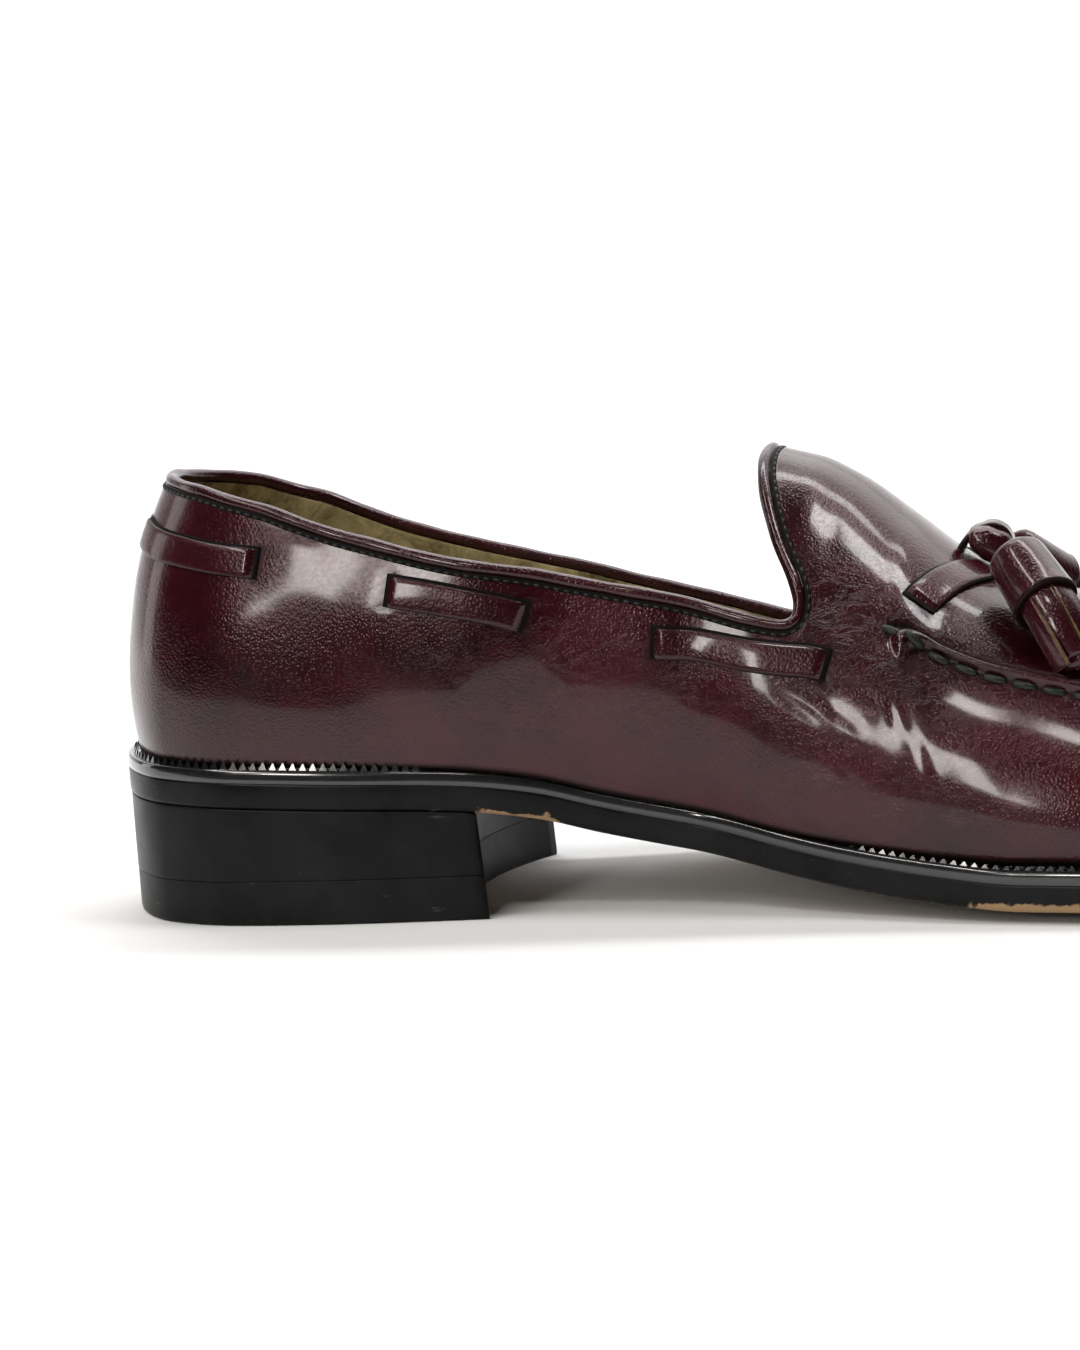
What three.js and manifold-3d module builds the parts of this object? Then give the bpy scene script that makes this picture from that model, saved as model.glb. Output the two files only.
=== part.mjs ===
// A tassel loafer, the left shoe, standing empty on its sole.
// Lengths are millimetres. X runs from the back of the heel to the toe, Y from the inner
// side of the foot to the outer side, and Z up from the floor.

import * as THREE from 'three';
import { mergeVertices } from 'three/addons/utils/BufferGeometryUtils.js';
import Module from 'manifold-3d';

const wasm = await Module();
wasm.setup();

// Driving sizes of the sole
const soleLength = 304;
const ballWidth = 105;
const waistWidth = 65;
const heelSeatWidth = 69;
const heelHeight = 25;
const toeSpring = 13;
const treadEdgeRise = 2.2;
const outsoleThickness = 5.2;
const outsoleBevel = 0.7;
const weltThickness = 2.5;
const weltRound = 0.6;
const weltUnderUpper = 9;
const insoleThickness = 3;

// Driving sizes of the heel
const heelLength = 80;
const topLiftThickness = 9;
const heelInset = 0.2;
const heelTaper = 0.1;
const breastHollow = 9;
const breastLean = 1.2;
const heelRestX = 38;

// Driving sizes of the upper
const backRise = 55.5;
const sideRise = 40;
const instepRise = 71.5;
const vampRise = 42;
const toeRise = 29;
const toeSwing = 5;
const upperWall = 2;
const fitGap = 0.3;
const drapeGap = 0.45;
const looseGap = 1.1;
const bindingDiameter = 2.6;
const apronLipWidth = 1.8;
const apronLipHeight = 1.2;
const apronGrooveDepth = 0.5;
const apronGrooveWidth = 0.5;
const apronFade = 4;

// Driving sizes of the leather lace, its knot and its tassels
const laceWidth = 6.2;
const laceThickness = 1.6;
const strapWidth = 7;
const knotLength = 11;
const knotWidth = 12;
const knotHeight = 6.5;
const knotLift = 1.3;
const knotCoreShare = 0.4;
const barrelLength = 14;
const barrelHeadRadius = 6;
const barrelRimRadius = 6.7;
const barrelWall = 1.3;
const barrelRecess = 5;
const recessShare = 0.92;
const fringeWidth = 3.7;
const fringeThickness = 1.3;
const fringeLength = 16;
const fringeSpread = 4;
const fringeTuck = 0.36;
const fringeFlare = 1.3;
const fringeBend = 0.35;
const fringeGather = 0.8;

const MEDIAL = -1;
const LATERAL = 1;

// A table becomes rows with named columns
function table(columns, rows) {
  return rows.map((row) => Object.fromEntries(columns.map((name, i) => [name, row[i]])));
}

// Slopes of a smooth curve that never overshoots its rows
function gentleSlopes(at, value) {
  const slope = at.map(() => 0);
  for (let i = 1; i < at.length - 1; i++) {
    const before = at[i] - at[i - 1];
    const after = at[i + 1] - at[i];
    const rise = (value[i] - value[i - 1]) / before;
    const next = (value[i + 1] - value[i]) / after;
    if (rise * next > 0) {
      const a = 2 * after + before;
      const b = after + 2 * before;
      slope[i] = (a + b) / (a / rise + b / next);
    }
  }
  return slope;
}

// A smooth curve through rows. A parity mirrors it at both ends, where odd values change
// sign; without one it runs out straight.
function smoothCurve(rows, atColumn, valueColumn, parity) {
  const at = rows.map(atColumn);
  const value = rows.map(valueColumn);
  const last = at.length - 1;
  if (parity) {
    at.unshift(2 * at[0] - at[1]);
    value.unshift(parity * value[1]);
    at.push(2 * at[last + 1] - at[last]);
    value.push(parity * value[last]);
  }
  const slope = gentleSlopes(at, value);
  if (!parity) {
    slope[0] = (value[1] - value[0]) / (at[1] - at[0]);
    slope[last] = (value[last] - value[last - 1]) / (at[last] - at[last - 1]);
  }
  return (where) => {
    const x = Math.min(Math.max(where, at[0]), at[at.length - 1]);
    let i = 0;
    while (i < at.length - 2 && x > at[i + 1]) i++;
    const step = at[i + 1] - at[i];
    const t = (x - at[i]) / step;
    const t2 = t * t;
    const t3 = t2 * t;
    return value[i] * (2 * t3 - 3 * t2 + 1) + slope[i] * step * (t3 - 2 * t2 + t)
      + value[i + 1] * (3 * t2 - 2 * t3) + slope[i + 1] * step * (t3 - t2);
  };
}

// Around the shoe, u runs from 0 at the middle of the heel to 1 at the middle of the toe
const shareAt = (u) => (1 - Math.cos(Math.PI * u)) / 2;
const uAtShare = (share) => Math.acos(1 - 2 * Math.min(Math.max(share, 0), 1)) / Math.PI;

// Stations round the shoe, shared by sole and upper: along the collar, below the corner of
// the throat, below the edge of the tongue and from there to the toe
const collarSteps = 17;
const cornerSteps = 5;
const tongueSteps = 6;
const toeSteps = 16;
const toeCrowding = 1.25;
const alongToe = (i) => Math.pow(i / toeSteps, toeCrowding);
const spaced = (from, to, count) => Array.from({ length: count },
  (_, i) => from + (to - from) * (i / count));
const uCorner = uAtShare(0.452);
const uTongueEdge = uAtShare(0.515);
const uVamp = uAtShare(0.630);
const footStations = [
  ...spaced(0, uCorner, collarSteps),
  ...spaced(uCorner, uTongueEdge, cornerSteps),
  ...spaced(uTongueEdge, uVamp, tongueSteps),
  ...Array.from({ length: toeSteps + 1 }, (_, i) => uVamp + (1 - uVamp) * alongToe(i)),
];
const blunt = 0.012;
const soleStations = footStations.map((u) => Math.min(Math.max(u, blunt), 1 - blunt));

// Outline of the sole: share of the length, the width that the row follows, and the shares
// of it on the inner and the outer side of the middle line
const outlineRows = table(['share', 'width', 'medial', 'lateral'], [
  [0.000, heelSeatWidth, 0.000, 0.000],
  [0.012, heelSeatWidth, 0.228, 0.228],
  [0.045, heelSeatWidth, 0.402, 0.402],
  [0.100, heelSeatWidth, 0.485, 0.485],
  [0.170, heelSeatWidth, 0.500, 0.500],
  [0.260, heelSeatWidth, 0.480, 0.500],
  [0.330, waistWidth, 0.455, 0.545],
  [0.400, waistWidth, 0.462, 0.590],
  [0.460, ballWidth, 0.340, 0.390],
  [0.530, ballWidth, 0.405, 0.438],
  [0.610, ballWidth, 0.470, 0.480],
  [0.690, ballWidth, 0.500, 0.500],
  [0.770, ballWidth, 0.487, 0.484],
  [0.850, ballWidth, 0.430, 0.424],
  [0.920, ballWidth, 0.340, 0.334],
  [0.970, ballWidth, 0.224, 0.220],
  [0.990, ballWidth, 0.134, 0.132],
  [1.000, ballWidth, 0.000, 0.000],
]);
const halfWidth = {
  [MEDIAL]: smoothCurve(outlineRows, (r) => uAtShare(r.share), (r) => r.width * r.medial, -1),
  [LATERAL]: smoothCurve(outlineRows, (r) => uAtShare(r.share), (r) => r.width * r.lateral, -1),
};

// Underside along the middle line: shares of the heel height, the toe spring and the
// rise of the edges beside the tread
const profileRows = table(['share', 'heel', 'toe', 'edge'], [
  [0.000, 1.000, 0.00, 0.00],
  [0.155, 0.930, 0.00, 0.00],
  [0.255, 0.870, 0.00, 0.00],
  [0.300, 0.750, 0.00, 0.35],
  [0.340, 0.610, 0.00, 0.45],
  [0.420, 0.395, 0.00, 0.55],
  [0.505, 0.165, 0.00, 0.75],
  [0.570, 0.050, 0.00, 0.90],
  [0.620, 0.000, 0.00, 1.00],
  [0.730, 0.000, 0.00, 1.00],
  [0.820, 0.000, 0.14, 0.90],
  [0.910, 0.000, 0.48, 0.60],
  [1.000, 0.000, 1.00, 0.30],
]);
const heelShare = smoothCurve(profileRows, (r) => r.share, (r) => r.heel);
const toeShare = smoothCurve(profileRows, (r) => r.share, (r) => r.toe);
const edgeShare = smoothCurve(profileRows, (r) => r.share, (r) => r.edge);
const underside = (x) => heelHeight * heelShare(x / soleLength) + toeSpring * toeShare(x / soleLength);
const edgeRise = (x) => treadEdgeRise * edgeShare(x / soleLength);
const outsoleTop = (x) => underside(x) + edgeRise(x) + outsoleThickness;
const weltTop = (x) => outsoleTop(x) + fitGap + weltThickness;
const seat = (x) => weltTop(x) + fitGap;

// The forepart turns a little towards the inner side
function swing(x) {
  const share = Math.max(0, x / soleLength - 0.5) / 0.5;
  return -toeSwing * share * share;
}

function edge(side, u) {
  const x = soleLength * shareAt(u);
  return new THREE.Vector2(x, side * halfWidth[side](u) + swing(x));
}

// Outward direction, level, at the edge of the sole
function outward(side, u) {
  const step = 0.003;
  const before = edge(side, u - step);
  const after = edge(side, u + step);
  if (u - step < 0) before.set(after.x, -after.y);
  if (u + step > 1) after.set(before.x, 2 * swing(soleLength) - before.y);
  const run = after.sub(before).normalize();
  return new THREE.Vector2(-run.y, run.x).multiplyScalar(side);
}

const insetEdge = (side, u, inset) => edge(side, u).addScaledVector(outward(side, u), -inset);

// Sections of the upper. share: where the section stands on the sole. ridge: where it meets
// the top line of the last. out and up: how far its side swells and how high the swell is.
// spread: how flat it runs into the top line. margin: the ledge of welt beside it.
// seam: how high up the section the apron seam runs.
const lastRows = table(
  ['share', 'ridge', 'outMedial', 'outLateral', 'up', 'spread', 'marginMedial', 'marginLateral', 'seam'], [
    [0.00, 0.130, 0.050, 0.050, 0.42, 0.25, 0.080, 0.080, 0.50],
    [0.06, 0.150, 0.050, 0.050, 0.43, 0.26, 0.080, 0.080, 0.50],
    [0.16, 0.200, 0.052, 0.052, 0.44, 0.26, 0.075, 0.075, 0.50],
    [0.30, 0.303, 0.095, 0.070, 0.46, 0.26, 0.010, 0.060, 0.50],
    [0.39, 0.390, 0.097, 0.070, 0.46, 0.25, 0.005, 0.060, 0.50],
    [0.46, 0.460, 0.085, 0.065, 0.46, 0.23, 0.015, 0.075, 0.51],
    [0.51, 0.511, 0.072, 0.060, 0.43, 0.23, 0.055, 0.090, 0.52],
    [0.56, 0.562, 0.060, 0.052, 0.38, 0.27, 0.085, 0.100, 0.54],
    [0.62, 0.622, 0.048, 0.045, 0.32, 0.35, 0.110, 0.110, 0.57],
    [0.70, 0.695, 0.040, 0.038, 0.27, 0.37, 0.120, 0.120, 0.58],
    [0.79, 0.765, 0.034, 0.034, 0.25, 0.35, 0.120, 0.120, 0.58],
    [0.88, 0.815, 0.030, 0.030, 0.24, 0.33, 0.120, 0.120, 0.57],
    [0.95, 0.843, 0.030, 0.030, 0.23, 0.31, 0.120, 0.120, 0.56],
    [1.00, 0.853, 0.030, 0.030, 0.23, 0.30, 0.120, 0.120, 0.55],
  ]);
const marginUnit = 34;
const lastColumn = (name) => smoothCurve(lastRows, (r) => uAtShare(r.share), (r) => r[name], 1);
const ridgeAlong = lastColumn('ridge');
const swellUp = lastColumn('up');
const topSpread = lastColumn('spread');
const seamShare = lastColumn('seam');
const swellOut = { [MEDIAL]: lastColumn('outMedial'), [LATERAL]: lastColumn('outLateral') };
const weltMargin = { [MEDIAL]: lastColumn('marginMedial'), [LATERAL]: lastColumn('marginLateral') };

// Top line of the last above the seat: share of the length, the rise that the row follows
// and its share. Behind the tongue it closes over the opening and is cut away.
const ridgeRows = table(['share', 'rise', 'part'], [
  [0.100, backRise, 1.36],
  [0.200, backRise, 1.40],
  [0.303, backRise, 1.42],
  [0.390, instepRise, 1.075],
  [0.460, instepRise, 1.000],
  [0.487, instepRise, 0.990],
  [0.512, instepRise, 0.950],
  [0.553, instepRise, 0.840],
  [0.580, instepRise, 0.755],
  [0.625, vampRise, 1.150],
  [0.690, vampRise, 1.005],
  [0.770, vampRise, 0.865],
  [0.853, toeRise, 1.000],
]);
const ridgeRise = smoothCurve(ridgeRows, (r) => r.share, (r) => r.rise * r.part);
const ridgeHeight = (x) => seat(x) + ridgeRise(x / soleLength);
const ridgeSlope = (x) => (ridgeHeight(x + 1) - ridgeHeight(x - 1)) / 2;

// A point of the last: theta runs from 0 at the welt to 1 at the top line
function last(side, u, theta) {
  const out = outward(side, u);
  const foot = insetEdge(side, u, marginUnit * weltMargin[side](u));
  const footHeight = seat(foot.x);
  const ridgeX = soleLength * ridgeAlong(u);
  const ridgeZ = ridgeHeight(ridgeX);
  const swell = ballWidth * swellOut[side](u);
  const spread = ballWidth * topSpread(u);
  const rise = ridgeRise(ridgeX / soleLength) * swellUp(u);
  const curve = new THREE.CubicBezierCurve3(
    new THREE.Vector3(foot.x, foot.y, footHeight),
    new THREE.Vector3(foot.x + out.x * swell, foot.y + out.y * swell, footHeight + rise),
    new THREE.Vector3(ridgeX + out.x * spread, swing(ridgeX) + out.y * spread,
      ridgeZ + out.x * spread * ridgeSlope(ridgeX)),
    new THREE.Vector3(ridgeX, swing(ridgeX), ridgeZ),
  );
  return curve.getPoint(theta);
}

// A place on the last with its outward direction
function frameOn(side, u, theta) {
  const step = 1e-3;
  const point = last(side, u, theta);
  const alongU = last(side, Math.min(u + step, 1), theta).sub(last(side, u - step, theta));
  const alongTheta = last(side, u, Math.min(theta + step, 1)).sub(last(side, u, theta - step));
  const normal = alongU.cross(alongTheta).normalize();
  if (side === LATERAL) normal.negate();
  return { point, normal };
}

// Where on the last a point of the side view lies
function locate(side, x, z) {
  let u = uAtShare(x / soleLength);
  let theta = 0.55;
  const step = 1e-4;
  for (let turn = 0; turn < 40; turn++) {
    const here = last(side, u, theta);
    const alongU = last(side, u + step, theta).sub(here).divideScalar(step);
    const alongTheta = last(side, u, theta + step).sub(here).divideScalar(step);
    const dx = x - here.x;
    const dz = z - here.z;
    const scale = alongU.x * alongTheta.z - alongU.z * alongTheta.x;
    const moveU = (dx * alongTheta.z - dz * alongTheta.x) / scale;
    const moveTheta = (dz * alongU.x - dx * alongU.z) / scale;
    u = Math.min(Math.max(u + Math.min(Math.max(moveU, -0.05), 0.05), 0), 1);
    theta = Math.min(Math.max(theta + Math.min(Math.max(moveTheta, -0.1), 0.1), 0), 1);
  }
  return { u, theta };
}

// The collar line in the side view, from the back of the heel round the throat to the top
// of the tongue: share of the length, the rise that the row follows and its share
const collarColumns = ['share', 'rise', 'part'];
const collarRows = {
  [MEDIAL]: table(collarColumns, [
    [0.0400, backRise, 0.998],
    [0.0640, backRise, 0.982],
    [0.1130, backRise, 0.930],
    [0.1895, backRise, 0.805],
    [0.2760, sideRise, 1.000],
    [0.3500, sideRise, 1.015],
    [0.4180, sideRise, 1.000],
    [0.4520, sideRise, 0.980],
    [0.4700, sideRise, 0.985],
    [0.4810, sideRise, 1.030],
    [0.4855, sideRise, 1.120],
    [0.4835, sideRise, 1.220],
    [0.4727, sideRise, 1.380],
    [0.4640, sideRise, 1.550],
    [0.4588, sideRise, 1.690],
  ]),
  [LATERAL]: table(collarColumns, [
    [0.0400, backRise, 0.996],
    [0.0640, backRise, 0.960],
    [0.1130, backRise, 0.875],
    [0.1895, backRise, 0.715],
    [0.2760, sideRise, 0.850],
    [0.3500, sideRise, 0.825],
    [0.4180, sideRise, 0.780],
    [0.4520, sideRise, 0.765],
    [0.4710, sideRise, 0.775],
    [0.4830, sideRise, 0.830],
    [0.4880, sideRise, 0.935],
    [0.4865, sideRise, 1.050],
    [0.4760, sideRise, 1.280],
    [0.4655, sideRise, 1.510],
    [0.4590, sideRise, 1.680],
  ]),
};
const tongueTopShare = 0.460;

// The height at which the middle of the heel reaches the collar
function thetaAtRise(u, rise) {
  let low = 0;
  let high = 1;
  for (let turn = 0; turn < 30; turn++) {
    const middle = (low + high) / 2;
    const here = last(MEDIAL, u, middle);
    if (here.z - seat(here.x) < rise) low = middle;
    else high = middle;
  }
  return low;
}

// The collar line on the last: its places, from the back of the heel to the top of the tongue
function collarPath(side) {
  const uTongue = uAtShareOfRidge(tongueTopShare);
  const places = [{ u: 0, theta: thetaAtRise(0, backRise) }];
  for (const row of collarRows[side].slice(1)) {
    const x = soleLength * row.share;
    places.push(locate(side, x, seat(x) + row.rise * row.part));
  }
  places.push({ u: uTongue, theta: 1 });
  return places;
}

// The section that meets the top line of the last at this share of the length
function uAtShareOfRidge(share) {
  let low = 0;
  let high = 1;
  for (let turn = 0; turn < 40; turn++) {
    const middle = (low + high) / 2;
    if (ridgeAlong(middle) < share) low = middle;
    else high = middle;
  }
  return low;
}

// Evenly spaced places along a path on the last
function spreadAlong(side, places, from, to, count) {
  const curve = new THREE.CatmullRomCurve3(
    places.map((place) => new THREE.Vector3(place.u, place.theta, 0)), false, 'centripetal');
  const fine = [];
  const fineCount = 240;
  let length = 0;
  let previous = null;
  for (let i = 0; i <= fineCount; i++) {
    const t = (from + (to - from) * (i / fineCount)) / (places.length - 1);
    const place = curve.getPoint(t);
    const point = last(side, place.x, Math.min(place.y, 1));
    if (previous) length += point.distanceTo(previous);
    previous = point;
    fine.push({ u: place.x, theta: Math.min(place.y, 1), length });
  }
  const result = [];
  let k = 0;
  for (let i = 0; i <= count; i++) {
    const wanted = length * (i / count);
    while (k < fineCount - 1 && fine[k + 1].length < wanted) k++;
    const span = fine[k + 1].length - fine[k].length || 1;
    const t = Math.min(Math.max((wanted - fine[k].length) / span, 0), 1);
    result.push({
      u: fine[k].u + (fine[k + 1].u - fine[k].u) * t,
      theta: fine[k].theta + (fine[k + 1].theta - fine[k].theta) * t,
    });
  }
  return result;
}

// The grid of the upper: columns from heel to toe, rows from welt to top
const cornerFromRow = 7;
const cornerToRow = 11;
const lowRows = 5;
const highRows = 5;

function upperColumns(side) {
  const places = collarPath(side);
  const collar = spreadAlong(side, places, 0, cornerFromRow, collarSteps);
  const corner = spreadAlong(side, places, cornerFromRow, cornerToRow, cornerSteps);
  const tongue = spreadAlong(side, places, cornerToRow, places.length - 1, tongueSteps);
  const tops = [...collar, ...corner.slice(1), ...tongue.slice(1)];
  const uTongue = tops[tops.length - 1].u;
  const firstRidge = tops.length;
  for (let i = 1; i <= toeSteps; i++) {
    tops.push({ u: uTongue + (1 - uTongue) * alongToe(i), theta: 1 });
  }
  return tops.map((top, i) => ({ uFoot: footStations[i], top, onRidge: i >= firstRidge - 1 }));
}

const columnBend = 1.7;
const placeIn = (column, t) => ({
  u: column.uFoot + (column.top.u - column.uFoot) * Math.pow(t, columnBend),
  theta: column.top.theta * t,
});
const pointIn = (side, column, t) => {
  const place = placeIn(column, t);
  return last(side, place.u, place.theta);
};

// Where the apron seam crosses a column, and how strongly it stands up there. The rows
// gather along it over a longer stretch than the lip needs to rise.
const apronStartShare = 0.536;
const apronStartFade = 0.016;
const gatherShare = 0.490;
const gatherFade = 0.090;
const eased = (value) => THREE.MathUtils.smoothstep(value, 0, 1);
function seamIn(column) {
  let t = 0.5;
  for (let turn = 0; turn < 20; turn++) {
    t = Math.min(seamShare(placeIn(column, t).u) / column.top.theta, 0.8);
  }
  const share = shareAt(placeIn(column, t).u);
  return {
    t,
    strength: eased((share - apronStartShare) / apronStartFade),
    gather: eased((share - gatherShare) / gatherFade),
  };
}

// Rows across the seam: distance from it and height over the last, both across the lip
const lipRows = table(['offset', 'height'], [
  [-apronLipWidth * 0.95, 0],
  [-apronLipWidth * 0.5, apronLipHeight],
  [apronLipWidth * 0.5, apronLipHeight],
  [apronLipWidth * 0.5 + apronGrooveWidth, -apronGrooveDepth],
  [apronLipWidth * 0.5 + apronGrooveWidth + apronFade, 0],
]);

function rowsIn(side, column) {
  const seam = seamIn(column);
  const step = 0.01;
  const pace = pointIn(side, column, seam.t + step)
    .distanceTo(pointIn(side, column, seam.t - step)) / (2 * step);
  const first = seam.t + lipRows[0].offset / pace;
  const end = seam.t + lipRows[lipRows.length - 1].offset / pace;
  const rows = [];
  for (let i = 0; i < lowRows; i++) rows.push({ t: first * (i / lowRows), height: 0 });
  for (const lip of lipRows) {
    rows.push({ t: seam.t + lip.offset / pace, height: lip.height * seam.strength });
  }
  for (let i = 1; i <= highRows; i++) rows.push({ t: end + (1 - end) * (i / highRows), height: 0 });
  return rows.map((row, j) => {
    const even = j / (rows.length - 1);
    return { t: even + (row.t - even) * seam.gather, height: row.height };
  });
}

// Solids from indexed corners
function solidFrom(corners, faces) {
  const geometry = new THREE.BufferGeometry();
  const flat = corners.flatMap((corner) => [corner.x, corner.y, corner.z]);
  geometry.setAttribute('position', new THREE.Float32BufferAttribute(flat, 3));
  geometry.setIndex(faces.flat());
  return mergeVertices(geometry, 1e-4);
}

function volumeOf(corners, faces) {
  let total = 0;
  for (const [a, b, c] of faces) {
    total += corners[a].dot(new THREE.Vector3().crossVectors(corners[b], corners[c]));
  }
  return total;
}

// A closed body keeps its faces pointing out
function body(corners, faces) {
  const turned = volumeOf(corners, faces) < 0 ? faces.map(([a, b, c]) => [a, c, b]) : faces;
  return solidFrom(corners, turned);
}

// A loft through rings of corners, joined into a loop or closed by a face at each end
function loft(rings, isLoop = false) {
  const size = rings[0].length;
  const corners = rings.flat();
  const faces = [];
  const count = isLoop ? rings.length : rings.length - 1;
  for (let i = 0; i < count; i++) {
    const here = i * size;
    const next = ((i + 1) % rings.length) * size;
    for (let k = 0; k < size; k++) {
      const side = (k + 1) % size;
      faces.push([here + k, here + side, next + side], [here + k, next + side, next + k]);
    }
  }
  if (!isLoop) {
    const end = (rings.length - 1) * size;
    for (let k = 1; k < size - 1; k++) {
      faces.push([0, k + 1, k], [end, end + k, end + k + 1]);
    }
  }
  return body(corners, faces);
}

function outsole() {
  const across = 8;
  const rings = soleStations.map((u) => {
    const inner = edge(MEDIAL, u);
    const outer = edge(LATERAL, u);
    const x = inner.x;
    const top = outsoleTop(x);
    const ring = [];
    for (let k = 0; k <= across; k++) {
      const share = k / across;
      const beside = Math.abs(2 * share - 1);
      const lift = edgeRise(x) * Math.pow(Math.max(0, (beside - 0.5) / 0.5), 2);
      const bevel = Math.min(outsoleBevel, (outer.y - inner.y) / 4);
      const y = inner.y + bevel + (outer.y - inner.y - 2 * bevel) * share;
      ring.push(new THREE.Vector3(x, y, underside(x) + lift));
    }
    ring.push(new THREE.Vector3(x, outer.y, underside(x) + edgeRise(x) + outsoleBevel));
    ring.push(new THREE.Vector3(x, outer.y, top));
    ring.push(new THREE.Vector3(x, inner.y, top));
    ring.push(new THREE.Vector3(x, inner.y, underside(x) + edgeRise(x) + outsoleBevel));
    return ring;
  });
  return loft(rings);
}

// Both sides of the shoe as one closed way round: inner side to the toe, outer side back
const wayRound = [
  ...soleStations.map((u) => ({ side: MEDIAL, u })),
  ...[...soleStations].reverse().map((u) => ({ side: LATERAL, u })),
];

function welt() {
  const rings = wayRound.map(({ side, u }) => {
    const inset = marginUnit * weltMargin[side](u) + upperWall + weltUnderUpper;
    const outer = edge(side, u);
    const rounded = insetEdge(side, u, weltRound);
    const inner = insetEdge(side, u, inset);
    const low = (p) => outsoleTop(p.x) + fitGap;
    return [
      new THREE.Vector3(outer.x, outer.y, low(outer)),
      new THREE.Vector3(outer.x, outer.y, weltTop(outer.x) - weltRound),
      new THREE.Vector3(rounded.x, rounded.y, weltTop(rounded.x)),
      new THREE.Vector3(inner.x, inner.y, weltTop(inner.x)),
      new THREE.Vector3(inner.x, inner.y, low(inner)),
    ];
  });
  return loft(rings, true);
}

// A block under the heel: its outline follows the sole and its front is hollowed
const heelAlong = 15;
const breastSteps = 8;
function heelOutline(inset, lean) {
  const uBreast = uAtShare(heelLength / soleLength);
  const half = (side) => Array.from({ length: heelAlong + 1 },
    (_, i) => insetEdge(side, uBreast * (i / heelAlong), inset));
  const inner = half(MEDIAL);
  const outer = half(LATERAL).slice(1);
  const from = outer[outer.length - 1];
  const to = inner[inner.length - 1];
  from.x += lean;
  to.x += lean;
  const breast = [];
  for (let k = 1; k < breastSteps; k++) {
    const t = k / breastSteps;
    const point = from.clone().lerp(to, t);
    point.x -= 4 * breastHollow * t * (1 - t);
    breast.push(point);
  }
  return [...inner.reverse(), ...outer, ...breast];
}

function heelBlock(levels) {
  const rings = levels.map(({ inset, lean, height }) => heelOutline(inset, lean)
    .map((p) => new THREE.Vector3(p.x, p.y, height(p.x))));
  const size = rings[0].length;
  const corners = rings.flat();
  const faces = [];
  for (let i = 0; i < rings.length - 1; i++) {
    for (let k = 0; k < size; k++) {
      const side = (k + 1) % size;
      const here = i * size;
      const next = here + size;
      faces.push([here + k, here + side, next + side], [here + k, next + side, next + k]);
    }
  }
  const cover = (ring, offset, turn) => {
    const plan = ring.map((p) => new THREE.Vector2(p.x, p.y));
    for (const [a, b, c] of THREE.ShapeUtils.triangulateShape(plan, [])) {
      faces.push(turn ? [offset + a, offset + c, offset + b] : [offset + a, offset + b, offset + c]);
    }
  };
  cover(rings[0], 0, false);
  cover(rings[rings.length - 1], (rings.length - 1) * size, true);
  return body(corners, faces);
}

const taperAt = (z) => heelInset + heelTaper * (1 - z / heelHeight);
const leanAt = (z) => breastLean * (1 - z / heelHeight);
function heelStack() {
  const low = topLiftThickness + fitGap;
  return heelBlock([
    { inset: heelInset, lean: 0, height: (x) => underside(x) - fitGap },
    { inset: taperAt(low), lean: leanAt(low), height: () => low },
  ]);
}

function topLift() {
  const high = topLiftThickness;
  return heelBlock([
    { inset: taperAt(high), lean: leanAt(high), height: () => high },
    { inset: taperAt(0), lean: leanAt(0), height: () => 0 },
  ]);
}

function insole() {
  const rings = soleStations.map((u) => {
    const place = (side) => insetEdge(side, u, marginUnit * weltMargin[side](u) + upperWall + fitGap);
    const inner = place(MEDIAL);
    const outer = place(LATERAL);
    const low = (p) => seat(p.x);
    return [
      new THREE.Vector3(inner.x, inner.y, low(inner)),
      new THREE.Vector3(outer.x, outer.y, low(outer)),
      new THREE.Vector3(outer.x, outer.y, low(outer) + insoleThickness),
      new THREE.Vector3(inner.x, inner.y, low(inner) + insoleThickness),
    ];
  });
  return loft(rings);
}

// The upper: outer and inner skins of the last, joined at the welt and round the opening
const upperGrid = {};
for (const side of [MEDIAL, LATERAL]) {
  const columns = upperColumns(side);
  upperGrid[side] = columns.map((column) => ({ column, rows: rowsIn(side, column) }));
}
const columnCount = upperGrid[MEDIAL].length;
const rowCount = lowRows + lipRows.length + highRows;

function upperSkin() {
  const corners = [];
  const normals = [];
  const raise = [];
  const ids = new Map();
  const idOf = (side, i, j) => {
    const shared = i === 0 || i === columnCount - 1
      || (j === rowCount - 1 && upperGrid[side][i].column.onRidge);
    return `${shared ? MEDIAL : side} ${i} ${j}`;
  };
  for (const side of [MEDIAL, LATERAL]) {
    upperGrid[side].forEach(({ column, rows }, i) => rows.forEach((row, j) => {
      const id = idOf(side, i, j);
      if (ids.has(id)) return;
      ids.set(id, corners.length);
      const place = placeIn(column, row.t);
      const { point, normal } = frameOn(side, place.u, place.theta);
      const out = outward(side, column.uFoot);
      corners.push(point);
      normals.push(j === 0 ? new THREE.Vector3(out.x, out.y, 0) : normal);
      raise.push(row.height);
    }));
  }
  const corner = (side, i, j) => ids.get(idOf(side, i, j));
  const faces = [];
  for (const side of [MEDIAL, LATERAL]) {
    for (let i = 0; i < columnCount - 1; i++) {
      for (let j = 0; j < rowCount - 1; j++) {
        const ring = [corner(side, i, j), corner(side, i + 1, j),
          corner(side, i + 1, j + 1), corner(side, i, j + 1)];
        if (side === LATERAL) ring.reverse();
        faces.push([ring[0], ring[1], ring[2]], [ring[0], ring[2], ring[3]]);
      }
    }
  }
  return { corners, faces, normals, raise, corner };
}

const skin = upperSkin();

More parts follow.
